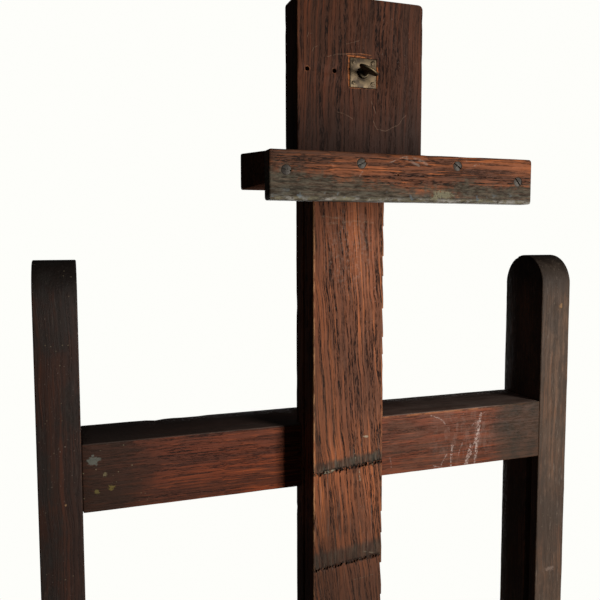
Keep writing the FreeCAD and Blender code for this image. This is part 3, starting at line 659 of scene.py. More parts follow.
def lathe(profile, sides=32, shape=None):
    """Rings of points round +Z through (radius, height) pairs. shape may change a radius by angle."""
    rings = []
    for radius, height in profile:
        ring = []
        for angle in angles(sides):
            size = shape(radius, height, angle) if shape else radius
            ring.append(Vector((size * math.cos(angle), size * math.sin(angle), height)))
        rings.append(ring)
    return rings


def facing(axis, roll=0.0):
    """A turn that takes +Z to an axis, and then rolls about it."""
    return Vector(axis).to_track_quat("Z", "Y").to_matrix().to_4x4() @ Matrix.Rotation(roll, 4, "Z")


def flock(name, template, spots, material, *nodes, smooth=35):
    """One piece made of a copy of the template at each spot: (place, axis, roll)."""
    work = bmesh.new()
    for place, axis, roll in spots:
        copy = template.data.copy()
        copy.transform(Matrix.Translation(place) @ facing(axis, roll))
        work.from_mesh(copy)
        bpy.data.meshes.remove(copy)
    mesh = bpy.data.meshes.new(name)
    work.to_mesh(mesh)
    work.free()
    return dress(stand(name, mesh), material, *nodes, smooth=smooth)


def slotted_head(radius, dome, cone, shank, length, slot, slot_deep):
    """A slotted screw, the top of its rim at the origin, pointing up."""
    profile = [(shank * 0.3, -length), (shank, -length + 3 * shank), (shank, -cone),
               (radius, -0.25 * MM), (radius, 0.0), (radius * 0.9, dome * 0.45),
               (radius * 0.6, dome * 0.85), (radius * 0.2, dome)]
    screw = skin("screw", lathe(profile, 28))
    bar = block((-radius * 1.2, -slot / 2, dome - slot_deep), (radius * 1.2, slot / 2, dome + 2 * MM))
    return carve(screw, [bar], 0.10 * MM)


def hex_bolt(radius, head, shank, length):
    """A hexagon-headed bolt, the head's foot at the origin, with a rounded-off top."""
    def shape(size, height, angle):
        if size < radius * 0.9:
            return size
        return size * math.cos(math.pi / 6) / math.cos(angle % (math.pi / 3) - math.pi / 6)
    profile = [(shank, -length), (shank, 0.0), (radius, 0.0), (radius, head * 0.72),
               (radius * 0.93, head * 0.88), (radius * 0.80, head * 0.97), (radius * 0.4, head)]
    return skin("bolt", lathe(profile, 36, shape))


def ring_washer(outside, bore, thick):
    edge = 0.35 * MM
    rings = lathe([(bore, 0.0), (outside - edge, 0.0), (outside, edge), (outside, thick - edge),
                   (outside - edge, thick), (bore, thick), (bore, 0.0)], 40)
    disc = skin("washer", rings[:-1])
    hole = drum((0, 0, -thick), (0, 0, 1), bore, 3 * thick)
    return carve(disc, [hole], 0)


SCREW_RADIUS = 4.0 * MM
POCKET_RADIUS = 4.25 * MM
POCKET_DEEP = 2.9 * MM
OUTWARD = {"front": Vector((0, -1, 0)), "back": Vector((0, 1, 0)), "up": Vector((0, 0, 1))}


def screw_face(solid, way):
    """The middle of a screw's head, on the end of its solid that faces a way."""
    centre, low, high = solid
    axis = OUTWARD[way]
    reach = Vector((high[i] - low[i] for i in range(3))) / 2
    return centre + Vector((axis[i] * reach[i] for i in range(3)))


def pockets(faces, way):
    """Cutters for the countersinks that a board's screws sit in."""
    axis = OUTWARD[way]
    return [drum(face - axis * POCKET_DEEP, axis, SCREW_RADIUS * 0.55, POCKET_DEEP + 0.2 * MM, 32,
                 POCKET_RADIUS) for face in faces]


def screw_set(node, way, rolls, sunk=0.15 * MM):
    """Slotted screws in place of a CAD group. Returns where their heads are."""
    faces = [screw_face(solid, way) for solid in solids(node)]
    template = slotted_head(SCREW_RADIUS, 0.25 * MM, 2.8 * MM, 2.0 * MM, 20 * MM, 1.05 * MM, 1.1 * MM)
    axis = OUTWARD[way]
    spots = [(face - axis * sunk, axis, math.radians(rolls[i % len(rolls)]))
             for i, face in enumerate(faces)]
    flock("screws_" + node, template, spots, SCREW_IRON, node)
    bpy.data.objects.remove(template)
    return faces


# ---------------------------------------------------------------- marks of use

def blot(g, place, colour, rough, centre, size, paint, ragged=260.0, strength=0.9):
    """A spot of old paint or grime with a ragged outline."""
    offset = g.vector("SUBTRACT", place, centre)
    scaled = g.vector("MULTIPLY", offset, tuple(1 / side for side in size))
    reach = g.vector("LENGTH", scaled, None) + (g.noise(place, ragged, 4.0, 0.75) - 0.5) * 3.4
    spot = g.step(reach, 0.95, 0.55) * g.near(place, centre, tuple(2 * side for side in size)) * strength
    return g.mix(spot, colour, paint), rough + spot * 0.15, spot


def stroke(g, place, points, width):
    """1 along a bent scratch on a front face, through (across, height) points in metres."""
    x, y, z = g.split(place)
    whole = None
    for (x0, z0), (x1, z1) in zip(points, points[1:]):
        run_x, run_z = x1 - x0, z1 - z0
        square = run_x * run_x + run_z * run_z
        share = (x - x0) * (run_x / square) + (z - z0) * (run_z / square)
        share = g.math("MULTIPLY", share, 1.0, clamp=True)
        gap_x = x - x0 - share * run_x
        gap_z = z - z0 - share * run_z
        away = g.math("SQRT", gap_x * gap_x + gap_z * gap_z)
        whole = away if whole is None else g.math("MINIMUM", whole, away)
    return g.step(whole, width, width * 0.3)


def scratched(g, place, colour, strokes, top, front, paint, ragged=330.0, bite=(0.42, 0.58)):
    """Draws scratches, each (points in mm from the posts' tops, width in mm, strength)."""
    x, y, z = g.split(place)
    on_front = g.step(y, front + 1.5 * MM, front + 0.8 * MM)
    shake = (g.noise(place, 170.0, 3.0, 0.7) - 0.5) * (4 * MM)
    shaken = g.join(x + shake, y, z - shake * 0.3)
    broken = g.spots(place, ragged, 4.0, 0.75, bite[0], bite[1]) * on_front
    for points, width, strength in strokes:
        path = [(across * MM, top + up * MM) for across, up in points]
        line = stroke(g, shaken, path, width * MM) * broken * strength
        colour = g.mix(line, colour, paint)
    return colour


def mast_marks(g, place, colour, rough, height):
    """Grimy bands with a ragged line of pits below each, where a holder was clamped."""
    x, y, z = g.split(place)
    slope = (x - MAST_MIDDLE) * BAND_SLOPE
    level = z - slope
    wobble = (g.noise(place, (240.0, 30.0, 60.0), 3.0, 0.7) - 0.5) * (9 * MM)
    on_front = g.step(y, MAST_LOW.y + 3 * MM, MAST_LOW.y + 1 * MM)
    for line, tall in ((UPPER_BAND, 11 * MM), (LOWER_BAND, 17 * MM)):
        rise = level - line
        soft = rise + wobble
        band = g.step(soft, -0.5 * MM, 1.0 * MM) * g.step(soft, tall * 1.2, tall * 0.7)
        patchy = g.ramp(g.noise(place, (110.0, 60.0, 45.0), 3.0, 0.6), 0.35, 1.15)
        band = band * on_front * g.math("MINIMUM", patchy, 0.92)
        streaky = g.spots(place, (480.0, 200.0, 60.0), 3.0, 0.7, 0.38, 0.62, 1.7)
        colour = g.mix(band, colour, g.mix(streaky, (0.021, 0.021, 0.018), (0.074, 0.073, 0.056)))
        speck = g.noise(place, (900.0, 200.0, 420.0), 2.0, 0.6)
        near_line = g.step(g.math("ABSOLUTE", rise + wobble * 0.35), 3.0 * MM, 1.2 * MM)
        tear = near_line * g.step(speck, 0.44, 0.52) * on_front
        colour = g.mix(tear, colour, (0.006, 0.005, 0.004))
        pale = g.step(g.math("ABSOLUTE", rise), 4 * MM, 1 * MM) * on_front
        pale = pale * g.spots(place, 520.0, 2.0, 0.5, 0.66, 0.72)
        colour = g.mix(pale * 0.6, colour, (0.30, 0.25, 0.15))
        height = height + tear * -2.5
        rough = rough + band * 0.12
    # The front corners are rubbed down to bright wood, the left one more than the right.
    frayed = g.noise(place, (300.0, 300.0, 55.0), 4.0, 0.7, 5.5)
    corner = g.step(x, MAST_LOW.x + 2.4 * MM, MAST_LOW.x + 0.9 * MM) * on_front
    colour = g.mix(corner * g.step(frayed, 0.40, 0.56) * 0.85, colour, (0.56, 0.27, 0.12))
    other = g.step(x, MAST_HIGH.x - 2.6 * MM, MAST_HIGH.x - 1.2 * MM) * on_front
    colour = g.mix(other * g.step(frayed, 0.44, 0.60) * 0.55, colour, (0.50, 0.22, 0.10))
    # Pale dusty scuffs under the head, running with the grain.
    under = g.near(place, (MAST_MIDDLE, MAST_LOW.y, POST_TOP + 8 * MM), (0.034, 0.01, 0.055)) * on_front
    dusty = g.spots(place, (300.0, 300.0, 300.0), 4.0, 0.7, 0.46, 0.66, 3.3)
    colour = g.mix(under * dusty * 0.14, colour, DUST)
    low = g.step(z, POST_TOP - 120 * MM, POST_TOP - 210 * MM)
    pale_streaks = g.spots(place, (520.0, 520.0, 26.0), 3.0, 0.65, 0.56, 0.70, 8.1)
    colour = g.mix(low * pale_streaks * on_front * 0.16, colour, DUST)
    colour = scratched(g, place, colour, (
        (((-28, -206), (-18, -204.5)), 1.5, 0.8), (((8.5, -207), (9.5, -218)), 0.9, 0.7),
        (((14, -174), (17, -174.5)), 1.5, 0.8), (((4, -190), (5, -197)), 0.7, 0.5),
        (((-26, 33), (4, 36), (22, 34)), 1.6, 0.16), (((-30, 40), (-12, 38)), 1.4, 0.14),
        (((12, -290), (26, -294)), 1.0, 0.45), (((4, -318), (24, -316)), 0.8, 0.4)),
        POST_TOP, MAST_LOW.y, (0.42, 0.36, 0.25))
    # Grey-brown where hands go, and darker toward the foot of the visible part.
    hand = g.step(z, POST_TOP - 60 * MM, POST_TOP - 130 * MM)
    hand = hand * g.step(z, POST_TOP - 200 * MM, POST_TOP - 170 * MM)
    hand = hand * g.step(x + (g.noise(place, 30.0, 3.0, 0.6) - 0.5) * (60 * MM), MAST_MIDDLE + 4 * MM,
                         MAST_MIDDLE - 20 * MM)
    colour = g.mix(hand * 0.16, colour, (0.052, 0.045, 0.032))
    foot = g.step(z + (g.noise(place, 26.0, 3.0, 0.6) - 0.5) * (90 * MM), POST_TOP - 205 * MM,
                  POST_TOP - 325 * MM)
    colour = g.mix(foot * 0.74, colour, (0.034, 0.018, 0.012))
    return colour, rough, height


def lip_marks(low, high, stain_up):
    """Grime along the edge where hands and canvases rub, with smears of old paint in it."""
    def marks(g, place, colour, rough, height):
        x, y, z = g.split(place)
        from_edge = z - low.z if stain_up else high.z - z
        wave = (g.noise(place, (28.0, 28.0, 40.0), 4.0, 0.6) - 0.5) * (34 * MM)
        ends = g.either(g.step(x, low.x + 62 * MM, low.x + 4 * MM),
                        g.step(x, high.x - 52 * MM, high.x - 2 * MM))
        left_end = g.step(x, low.x + 70 * MM, low.x + 20 * MM)
        quick = (g.noise(place, (160.0, 160.0, 160.0), 4.0, 0.7) - 0.5) * (26 * MM)
        reach = from_edge + wave + quick - (ends + left_end) * (5.5 * MM)
        stain = g.step(reach, 17 * MM, 5 * MM)
        colour = g.mix(left_end * 0.34, colour, (0.034, 0.023, 0.016))
        mottle = g.spots(place, (120.0, 120.0, 420.0), 4.0, 0.7, 0.36, 0.64, 6.2)
        colour = g.mix(stain * 0.86, colour, g.mix(mottle, (0.030, 0.026, 0.019), (0.104, 0.093, 0.067)))
        smear = g.noise(place, (60.0, 60.0, 420.0), 4.0, 0.7, 2.2)
        near_edge = g.step(from_edge, 11 * MM, 1 * MM)
        paint = g.step(smear, 0.50, 0.66) * near_edge
        rubbed_edge = g.step(from_edge, 4.0 * MM, 1.4 * MM)
        rubbed_edge = rubbed_edge * g.spots(place, (130.0, 300.0, 300.0), 4.0, 0.7, 0.36, 0.54, 9.2)
        edge_paint = g.mix(g.spots(place, 140.0, 3.0, 0.6, 0.44, 0.58), (0.19, 0.165, 0.105),
                           (0.36, 0.34, 0.30))
        colour = g.mix(rubbed_edge * 0.82, colour, edge_paint)
        fleck = g.mix(g.spots(place, 90.0, 2.0, 0.5, 0.45, 0.6), (0.16, 0.15, 0.115), (0.22, 0.22, 0.20))
        colour = g.mix(paint * 0.75, colour, fleck)
        blue = g.spots(place, 210.0, 2.0, 0.5, 0.63, 0.69) * near_edge * 0.45
        colour = g.mix(blue, colour, (0.16, 0.22, 0.26))
        if stain_up:
            for across, up, wide, tall in ((144, 6.2, 0.0105, 0.0036), (136, 3.6, 0.0050, 0.0022),
                                           (178, 2.2, 0.0040, 0.0012), (62, 2.0, 0.0050, 0.0012)):
                spot_place = (low.x + across * MM, low.y, low.z + up * MM)
                colour, rough, spot = blot(g, place, colour, rough, spot_place,
                                           (wide, 0.006, tall), (0.215, 0.195, 0.125), 420.0)
                height = height + spot * 0.5
            colour = scratched(g, place, colour, (
                (((-23, 76), (-14, 79.5), (-5, 82.5)), 0.7, 0.4), (((-7, 81), (5, 75.5)), 1.4, 0.28),
                (((0, 82), (12, 77)), 1.8, 0.24), (((-45, 66), (-43, 69.5)), 0.6, 0.5),
                (((-70, 75), (-66, 72)), 0.8, 0.4), (((52, 76), (60, 79)), 0.7, 0.35)),
                POST_TOP, low.y, (0.40, 0.35, 0.30))
        rough = rough + stain * 0.12
        return colour, rough, height
    return marks


def head_marks(g, place, colour, rough, height):
    """Raw wood round the plate, long curved scratches, and a face that darkens to the ledge."""
    x, y, z = g.split(place)
    dark = g.step(z, BOARD_LOW.z + 100 * MM, BOARD_LOW.z + 42 * MM)
    colour = g.mix(dark * 0.74, colour, (0.018, 0.011, 0.009))
    raw = (0.42, 0.135, 0.040)
    colour = scratched(g, place, colour, (
        (((-18.2, 178), (-18.4, 166), (-18.2, 153)), 0.9, 0.9),
        (((-19.5, 179), (-10, 179.2), (-2, 178.2)), 0.9, 0.85),
        (((9.2, 171), (9.2, 160), (8.9, 153)), 0.8, 0.75),
        (((-21, 180.5), (-8, 181.5), (3, 181)), 0.6, 0.5)),
        POST_TOP, BOARD_LOW.y, raw, 300.0, (0.36, 0.54))
    colour = scratched(g, place, colour, (
        (((6, 124), (9, 117), (18, 115.5), (30.4, 121.6), (38.6, 131)), 0.40, 0.26),
        (((-51.7, 180), (-50.8, 183), (-47.4, 184.7)), 0.40, 0.24),
        (((-38.5, 176.7), (-29.8, 179.2), (-18.2, 180.7), (-4.5, 181.9)), 0.40, 0.26),
        (((-21, 189), (-14.4, 190.5), (-8.5, 192.8)), 0.40, 0.22),
        (((-29.7, 130), (-22, 128.6), (-14, 124.6)), 0.40, 0.20),
        (((3.4, 141), (7.9, 131)), 0.5, 0.28), (((-57, 192), (-56, 196)), 0.5, 0.26)),
        POST_TOP, BOARD_LOW.y, (0.34, 0.22, 0.15), 220.0, (0.36, 0.50))
    return colour, rough, height


def rail_marks(g, place, colour, rough, height):
    """Paint spatter and grime at the left end, pale scrapes and a green-grey bloom at the right."""
    x, y, z = g.split(place)
    wave = (g.noise(place, 34.0, 3.0, 0.6) - 0.5) * (70 * MM)
    left = g.step(x + wave, POST_HIGH.x + 78 * MM, POST_HIGH.x + 30 * MM)
    colour = g.mix(left * 0.82, colour, (0.026, 0.015, 0.010))
    on_front = g.step(y, RAIL_LOW.y + 2 * MM, RAIL_LOW.y + 0.8 * MM)
    dots = g.step(g.cells(place, 260.0), 0.20, 0.10) * left * on_front
    sparse = g.spots(place, 75.0, 2.0, 0.5, 0.56, 0.62)
    dots = dots * sparse
    colour = g.mix(dots * 0.8, colour, (0.24, 0.20, 0.12))
    for across, up, size, paint in ((-238.5, -181.5, (0.0060, 0.004, 0.0050), (0.12, 0.125, 0.105)),
                                    (-236.5, -211.0, (0.0030, 0.004, 0.0026), (0.13, 0.105, 0.035)),
                                    (-224.0, -209.0, (0.0036, 0.004, 0.0030), (0.14, 0.105, 0.030)),
                                    (-229.0, -196.0, (0.0020, 0.004, 0.0030), (0.16, 0.13, 0.070))):
        place_of = (across * MM, RAIL_LOW.y, POST_TOP + up * MM)
        colour, rough, spot = blot(g, place, colour, rough, place_of, size, paint, 380.0, 0.85)
        height = height + spot * 0.6
    # Past the mast the face is duller and browner, and its top edge is rubbed bright.
    past = g.step(x, MAST_HIGH.x, MAST_HIGH.x + 30 * MM) * on_front
    dull = g.spots(place, (40.0, 90.0, 90.0), 4.0, 0.65, 0.30, 0.68, 5.1)
    colour = g.mix(past * g.ramp(dull, 0.10, 0.42), colour, (0.150, 0.078, 0.050))
    rubbed = g.step(z, RAIL_HIGH.z - 3.6 * MM, RAIL_HIGH.z - 1.4 * MM)
    ragged = g.spots(place, (60.0, 240.0, 240.0), 4.0, 0.7, 0.40, 0.56, 7.7)
    colour = g.mix(rubbed * ragged * past * 0.70, colour, (0.46, 0.175, 0.070))
    # A haze of fine chalky rubbing, and scrapes that run down the face.
    haze = g.near(place, (150 * MM, RAIL_LOW.y, POST_TOP - 196 * MM), (0.055, 0.02, 0.045))
    misty = g.spots(place, (130.0, 130.0, 60.0), 5.0, 0.75, 0.44, 0.64, 4.4)
    colour = g.mix(haze * misty * on_front * 0.30, colour, (0.30, 0.19, 0.15))
    colour = scratched(g, place, colour, (
        (((170.5, -174), (168, -194), (164, -229)), 2.3, 0.80), (((168, -181), (166, -205)), 3.4, 0.62),
        (((158, -208), (152, -232)), 2.4, 0.75), (((166, -200), (160, -214), (154, -228)), 1.4, 0.7),
        (((135, -206), (133.5, -232)), 1.8, 0.75),
        (((108.5, -170.5), (119.5, -174.7), (126, -181)), 1.1, 0.6),
        (((143, -218), (148, -204)), 1.0, 0.45), (((128, -215), (122, -226)), 1.1, 0.45),
        (((176, -172), (160, -186)), 1.0, 0.4), (((112, -226), (124, -230)), 1.2, 0.5),
        (((212, -208), (204, -186), (186, -177)), 0.6, 0.25), (((60, -212), (62, -222)), 1.0, 0.3)),
        POST_TOP, RAIL_LOW.y, (0.52, 0.40, 0.35), 420.0, (0.44, 0.60))
    # The top face is painted with dust and a painted sheen, the painted colour turning darker towards the
    # left end.
    on_top = g.step(z, RAIL_HIGH.z - 1.2 * MM, RAIL_HIGH.z - 0.5 * MM)
    dust_and_sheen = g.mix(g.spots(place, (20.0, 60.0, 60.0), 4.0, 0.65, 0.35, 0.65), (0.135, 0.100, 0.082),
                    (0.235, 0.182, 0.155))
    dust_and_sheen = g.mix(g.step(x, POST_HIGH.x + 10 * MM, RIGHT_LOW.x), (0.050, 0.036, 0.030), dust_and_sheen)
    colour = g.mix(on_top * 0.85, colour, dust_and_sheen)
    right = g.step(x + wave * 0.6, RIGHT_LOW.x - 78 * MM, RIGHT_LOW.x - 40 * MM)
    mottle = g.spots(place, 45.0, 4.0, 0.65, 0.35, 0.65)
    grimy = g.mix(mottle, (0.026, 0.026, 0.019), (0.066, 0.039, 0.025))
    colour = g.mix(right * on_front * 0.85, colour, grimy)
    return colour, rough, height


def post_marks(low, across, drop, size, murk, rubbed):
    """Murky patches, painted shade on the round top, fine paint specks and a small chip of bare wood."""
    def marks(g, place, colour, rough, height):
        centre = (across * MM, low.y, POST_TOP - drop * MM)
        # Painted shade: the round top is darkened to near black, as if no light reached it.
        shaded_crown = g.step(g.split(place)[2], POST_TOP - 52 * MM, POST_TOP - 16 * MM)
        colour = g.mix(shaded_crown * 0.90, colour, (0.009, 0.007, 0.006))
        mottle = g.spots(place, (34.0, 34.0, 15.0), 6.0, 0.75, 0.42, 0.60)
        colour = g.mix(mottle * 0.72, colour, murk)
        colour, rough, spot = blot(g, place, colour, rough, centre, (size, 0.004, size * 1.15),
                                   (0.26, 0.15, 0.075), 500.0)
        colour, rough, other = blot(g, place, colour, rough, (268 * MM, low.y, POST_TOP - 367 * MM),
                                    (0.009, 0.004, 0.0028), (0.21, 0.15, 0.12), 380.0, 0.6)
        specks = g.step(g.cells(place, 190.0), 0.15, 0.07) * g.spots(place, 40.0, 2.0, 0.5, 0.52, 0.58)
        colour = g.mix(specks * 0.40, colour, (0.20, 0.16, 0.10))
        rub = g.noise(place, (420.0, 420.0, 55.0), 4.0, 0.7, 2.6)
        colour = g.mix(g.step(rub, 0.58, 0.70) * rubbed, colour, (0.30, 0.23, 0.18))
        return colour, rough, height - spot * 1.2
    return marks


# ---------------------------------------------------------------- frame

LOWER_RAIL_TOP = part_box("lower_rail")[1].z
GROOVE_AHEAD = 11.3 * MM
GROOVE_WIDE = 10 * MM
GROOVE_DEEP = 10 * MM


def make_post(side, low, high, inner, material, seed):
    """A round-topped post with its stopped groove. inner is 1 where its inner face is to the right."""
    half = (POST_BACK - POST_FRONT) / 2
    middle = (POST_BACK + POST_FRONT) / 2
    outline = [(POST_FRONT, POST_FOOT), (POST_BACK, POST_FOOT)]
    turns = 28
    for i in range(turns + 1):
        angle = math.pi * i / turns
        outline.append((middle + half * math.cos(angle), POST_TOP - half + half * math.sin(angle)))
    post = slab(side + "_post_wood", outline, low.x, high.x, Wear(seed, 1.3 * MM, 26, 1.5 * MM), 10 * MM)
    face = high.x if inner > 0 else low.x
    near, far = sorted((face + inner * 2 * MM, face - inner * GROOVE_DEEP))
    groove = block((near, POST_FRONT + GROOVE_AHEAD, LOWER_RAIL_TOP),
                   (far, POST_FRONT + GROOVE_AHEAD + GROOVE_WIDE, RAIL_LOW.z))
    dress(carve(post, [groove]), material, side + "_post")


make_post("left", POST_LOW, POST_HIGH, 1,
          oak("oak_left_post", "z", 11.0, light=(0.038, 0.0155, 0.0095), deep=(0.021, 0.0105, 0.0075),
              glow=(0.068, 0.021, 0.010), pores=0.45, drift=0.01, edge_wear=0.85,
              extra=post_marks(POST_LOW, -263.5, 220.0, 0.0012, (0.018, 0.015, 0.013), 0.05)), 21)
# The right post's paler grey-brown tone and grey patches are partly its own colour and partly a painted
# sheen of the key light.
make_post("right", RIGHT_LOW, RIGHT_HIGH, -1,
          oak("oak_right_post", "z", 15.0, light=(0.150, 0.082, 0.048), deep=(0.092, 0.055, 0.035),
              glow=(0.20, 0.085, 0.042), pores=0.30, grey=0.50, drift=-0.01, edge_wear=0.9,
              extra=post_marks(RIGHT_LOW, 274.8, 57.8, 0.0026, (0.050, 0.036, 0.027), 0.28)), 22)

for name, node, seed, extra in (("upper_rail_wood", "upper_rail", 31, rail_marks),
                                ("lower_rail_wood", "lower_rail", 32, None)):
    low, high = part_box(node)
    wear = Wear(seed, 1.2 * MM, 14, 1.6 * MM)
    rail = plank(name, (POST_HIGH.x, low.y, low.z), (RIGHT_LOW.x, high.y, high.z), "x", wear)
    notch = block((MAST_LOW.x - 0.5 * MM, low.y - 5 * MM, low.z - 5 * MM),
                  (MAST_HIGH.x + 0.5 * MM, MAST_HIGH.y + 0.5 * MM, high.z + 5 * MM))
    wood = oak("oak_" + node, "x", seed * 1.3, light=(0.205, 0.041, 0.0122), deep=(0.096, 0.024, 0.0095),
               glow=(0.38, 0.080, 0.019), pores=0.9, drift=0.02, edge_wear=1.0, shine=0.15, extra=extra)
    dress(carve(rail, [notch]), wood, node)

# ---------------------------------------------------------------- mast

MAST_TEETH = [(0, POST_TOP + drop * MM, depth * MM, long * MM) for drop, depth, long in
              ((31, 2.6, 16), (2, 2.8, 17), (-17, 2.4, 12), (-49, 3.0, 20), (-77, 2.6, 18), (-94, 2.6, 14),
               (-252, 3.0, 16), (-274, 2.6, 14), (-305, 5.0, 22), (-338, 3.0, 18))]
TRACK_WIDE = 6.2 * MM
TRACK_DEEP = 5 * MM
TRACK_AHEAD = 5.1 * MM


def pit_line(seed, line, count):
    """A comb-shaped cutter: a ragged row of small torn pits across the mast's front."""
    draw = random.Random(seed)
    upper = []
    lower = []
    start = MAST_LOW.x - 1 * MM
    across = start
    wide = (MAST_HIGH.x + 1 * MM - start) / count
    for i in range(count):
        level = line + BAND_SLOPE * (across - MAST_MIDDLE) + draw.uniform(-0.7, 0.7) * MM
        deep = draw.uniform(0.6, 1.7) * MM if draw.random() < 0.70 else 0.15 * MM
        tall = deep * draw.uniform(1.0, 2.6)
        upper.append((across + wide * 0.2, level + tall * 0.5))
        upper.append((across + wide * 0.6, level + tall * 0.35))
        upper.append((across + wide * 0.8, level + 0.12 * MM))
        lower.append((across + wide * 0.25, level - tall))
        lower.append((across + wide * 0.5, level - tall * 0.8))
        lower.append((across + wide * 0.8, level - 0.12 * MM))
        across += wide
    outline = upper + list(reversed(lower))
    front = [(x, MAST_LOW.y - 1 * MM, z) for x, z in outline]
    back = [(x, MAST_LOW.y + 1.6 * MM, z) for x, z in outline]
    return skin("pits", [front, back])


mast = plank("mast_wood", MAST_LOW, MAST_HIGH, "z", Wear(41, 1.1 * MM, 60, 1.5 * MM, MAST_TEETH), 8 * MM)
track_low = POST_FRONT - TRACK_AHEAD - TRACK_WIDE
tracks = [block((x0, track_low, MAST_LOW.z - 5 * MM), (x1, track_low + TRACK_WIDE, MAST_HIGH.z + 5 * MM))
          for x0, x1 in ((MAST_LOW.x - 5 * MM, MAST_LOW.x + TRACK_DEEP),
                         (MAST_HIGH.x - TRACK_DEEP, MAST_HIGH.x + 5 * MM))]
SLOT_LOW, SLOT_TOP = 685 * MM, 1370 * MM
SLOT_LIP, SLOT_DEEP = 7 * MM, 9 * MM
slot_back = MAST_HIGH.y
slot_parts = [block((MAST_MIDDLE - 5 * MM, slot_back - SLOT_LIP - 1 * MM, SLOT_LOW),
                    (MAST_MIDDLE + 5 * MM, slot_back + 5 * MM, SLOT_TOP)),
              block((MAST_MIDDLE - 10 * MM, slot_back - SLOT_LIP - SLOT_DEEP, SLOT_LOW),
                    (MAST_MIDDLE + 10 * MM, slot_back - SLOT_LIP, SLOT_TOP))]
carve(mast, tracks + slot_parts, 0.6 * MM)
carve(mast, [pit_line(5, UPPER_BAND, 22), pit_line(6, LOWER_BAND, 26)], 0)
mast_oak = oak("oak_mast", "z", 3.0, light=(0.370, 0.112, 0.043), deep=(0.165, 0.060, 0.029),
               glow=(0.58, 0.175, 0.054), pores=1.35, drift=0.075, edge_wear=1.0, extra=mast_marks)
dress(mast, mast_oak, "mast")

low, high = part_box("carriage")
bar_low = (POST_HIGH.x + 0.5 * MM, low.y, low.z)
bar_high = (RIGHT_LOW.x - 0.5 * MM, high.y, high.z)
carriage = plank("carriage_wood", bar_low, bar_high, "x", Wear(51, 1.2 * MM, 10, 1.6 * MM))
seat = block((MAST_LOW.x, low.y - 5 * MM, low.z - 5 * MM), (MAST_HIGH.x, MAST_HIGH.y, high.z + 5 * MM))
faces = screw_set("carriage_screws", "back", (0, 35, 70, 105))
carve(carriage, [seat] + pockets(faces, "back"))
CARRIAGE_OAK = oak("oak_carriage", "x", 52.0)
dress(carriage, CARRIAGE_OAK, "carriage")
tongue_low = POST_FRONT + GROOVE_AHEAD + 0.35 * MM
tongue_high = tongue_low + GROOVE_WIDE - 0.7 * MM
for name, start, end in (("carriage_left_tongue", low.x, POST_HIGH.x + 2 * MM),
                         ("carriage_right_tongue", RIGHT_LOW.x - 2 * MM, high.x)):
    tongue = plank(name, (start, tongue_low, low.z + 1.2 * MM), (end, tongue_high, high.z - 1.2 * MM), "x",
                   Wear(53, 0.5 * MM, 0, 0.0))
    dress(tongue, CARRIAGE_OAK, "carriage")

# ---------------------------------------------------------------- base

def foot_outline(low, high):
    """A runner: two pads with a hollow between, sloped ends and a flat top."""
    pad, slope, relief, toe = 95 * MM, 16 * MM, 8 * MM, 38 * MM
    flat_front, flat_back = -130 * MM, 286 * MM
    corners = [(low.y, 0.0), (low.y + pad, 0.0), (low.y + pad + slope, relief),
               (high.y - pad - slope, relief), (high.y - pad, 0.0), (high.y, 0.0), (high.y, toe),
               (flat_back, high.z), (flat_front, high.z), (low.y, toe)]
    return rounded(corners, 2.5 * MM)


BRACE_TOP = 640 * MM
BRACE_REACH = 284 * MM
BRACE_HEEL = 50 * MM

for side, seed in (("left", 61), ("right", 62)):
    low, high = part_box(side + "_foot")
    wear = Wear(seed, 1.8 * MM, 22, 2.4 * MM)
    foot = slab(side + "_foot_wood", foot_outline(low, high), low.x, high.x, wear, 14 * MM)
    foot_oak = oak("oak_" + side + "_foot", "y", seed * 0.9, light=(0.130, 0.052, 0.030),
                   deep=(0.070, 0.034, 0.022), glow=(0.20, 0.070, 0.034), grey=0.25)
    dress(foot, foot_oak, side + "_foot")

    low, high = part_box(side + "_brace")
    steep = (BRACE_TOP - POST_FOOT) / (BRACE_REACH - POST_BACK)
    outline = [(POST_BACK, BRACE_TOP - BRACE_HEEL * steep), (BRACE_REACH - BRACE_HEEL, POST_FOOT),
               (BRACE_REACH, POST_FOOT), (POST_BACK, BRACE_TOP)]
    wear = Wear(seed + 4, 1.3 * MM, 14, 1.8 * MM)
    brace = slab(side + "_brace_wood", rounded(outline, 2 * MM, 3), low.x, high.x, wear, 12 * MM)
    middle = (low.x + high.x) / 2
    bores = [drum((middle, POST_BACK + 34 * MM, 560 * MM), (0, 1, 0), 4.4 * MM, 60 * MM),
             drum((middle, 250 * MM, 118 * MM), (0, 0, 1), 4.4 * MM, 60 * MM)]
    brace_oak = oak("oak_" + side + "_brace", "z", seed * 1.7, tilt=-math.atan(1 / steep),
                    light=(0.140, 0.052, 0.030), deep=(0.075, 0.034, 0.022))
    dress(carve(brace, bores), brace_oak, side + "_brace")

low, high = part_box("rear_stretcher")
stretcher = plank("rear_stretcher_wood", low, high, "x", Wear(71, 1.2 * MM, 10, 1.6 * MM))
stretcher_oak = oak("oak_stretcher", "x", 72.0, light=(0.150, 0.055, 0.030), deep=(0.080, 0.036, 0.024))
dress(stretcher, stretcher_oak, "rear_stretcher")

# ---------------------------------------------------------------- canvas holders

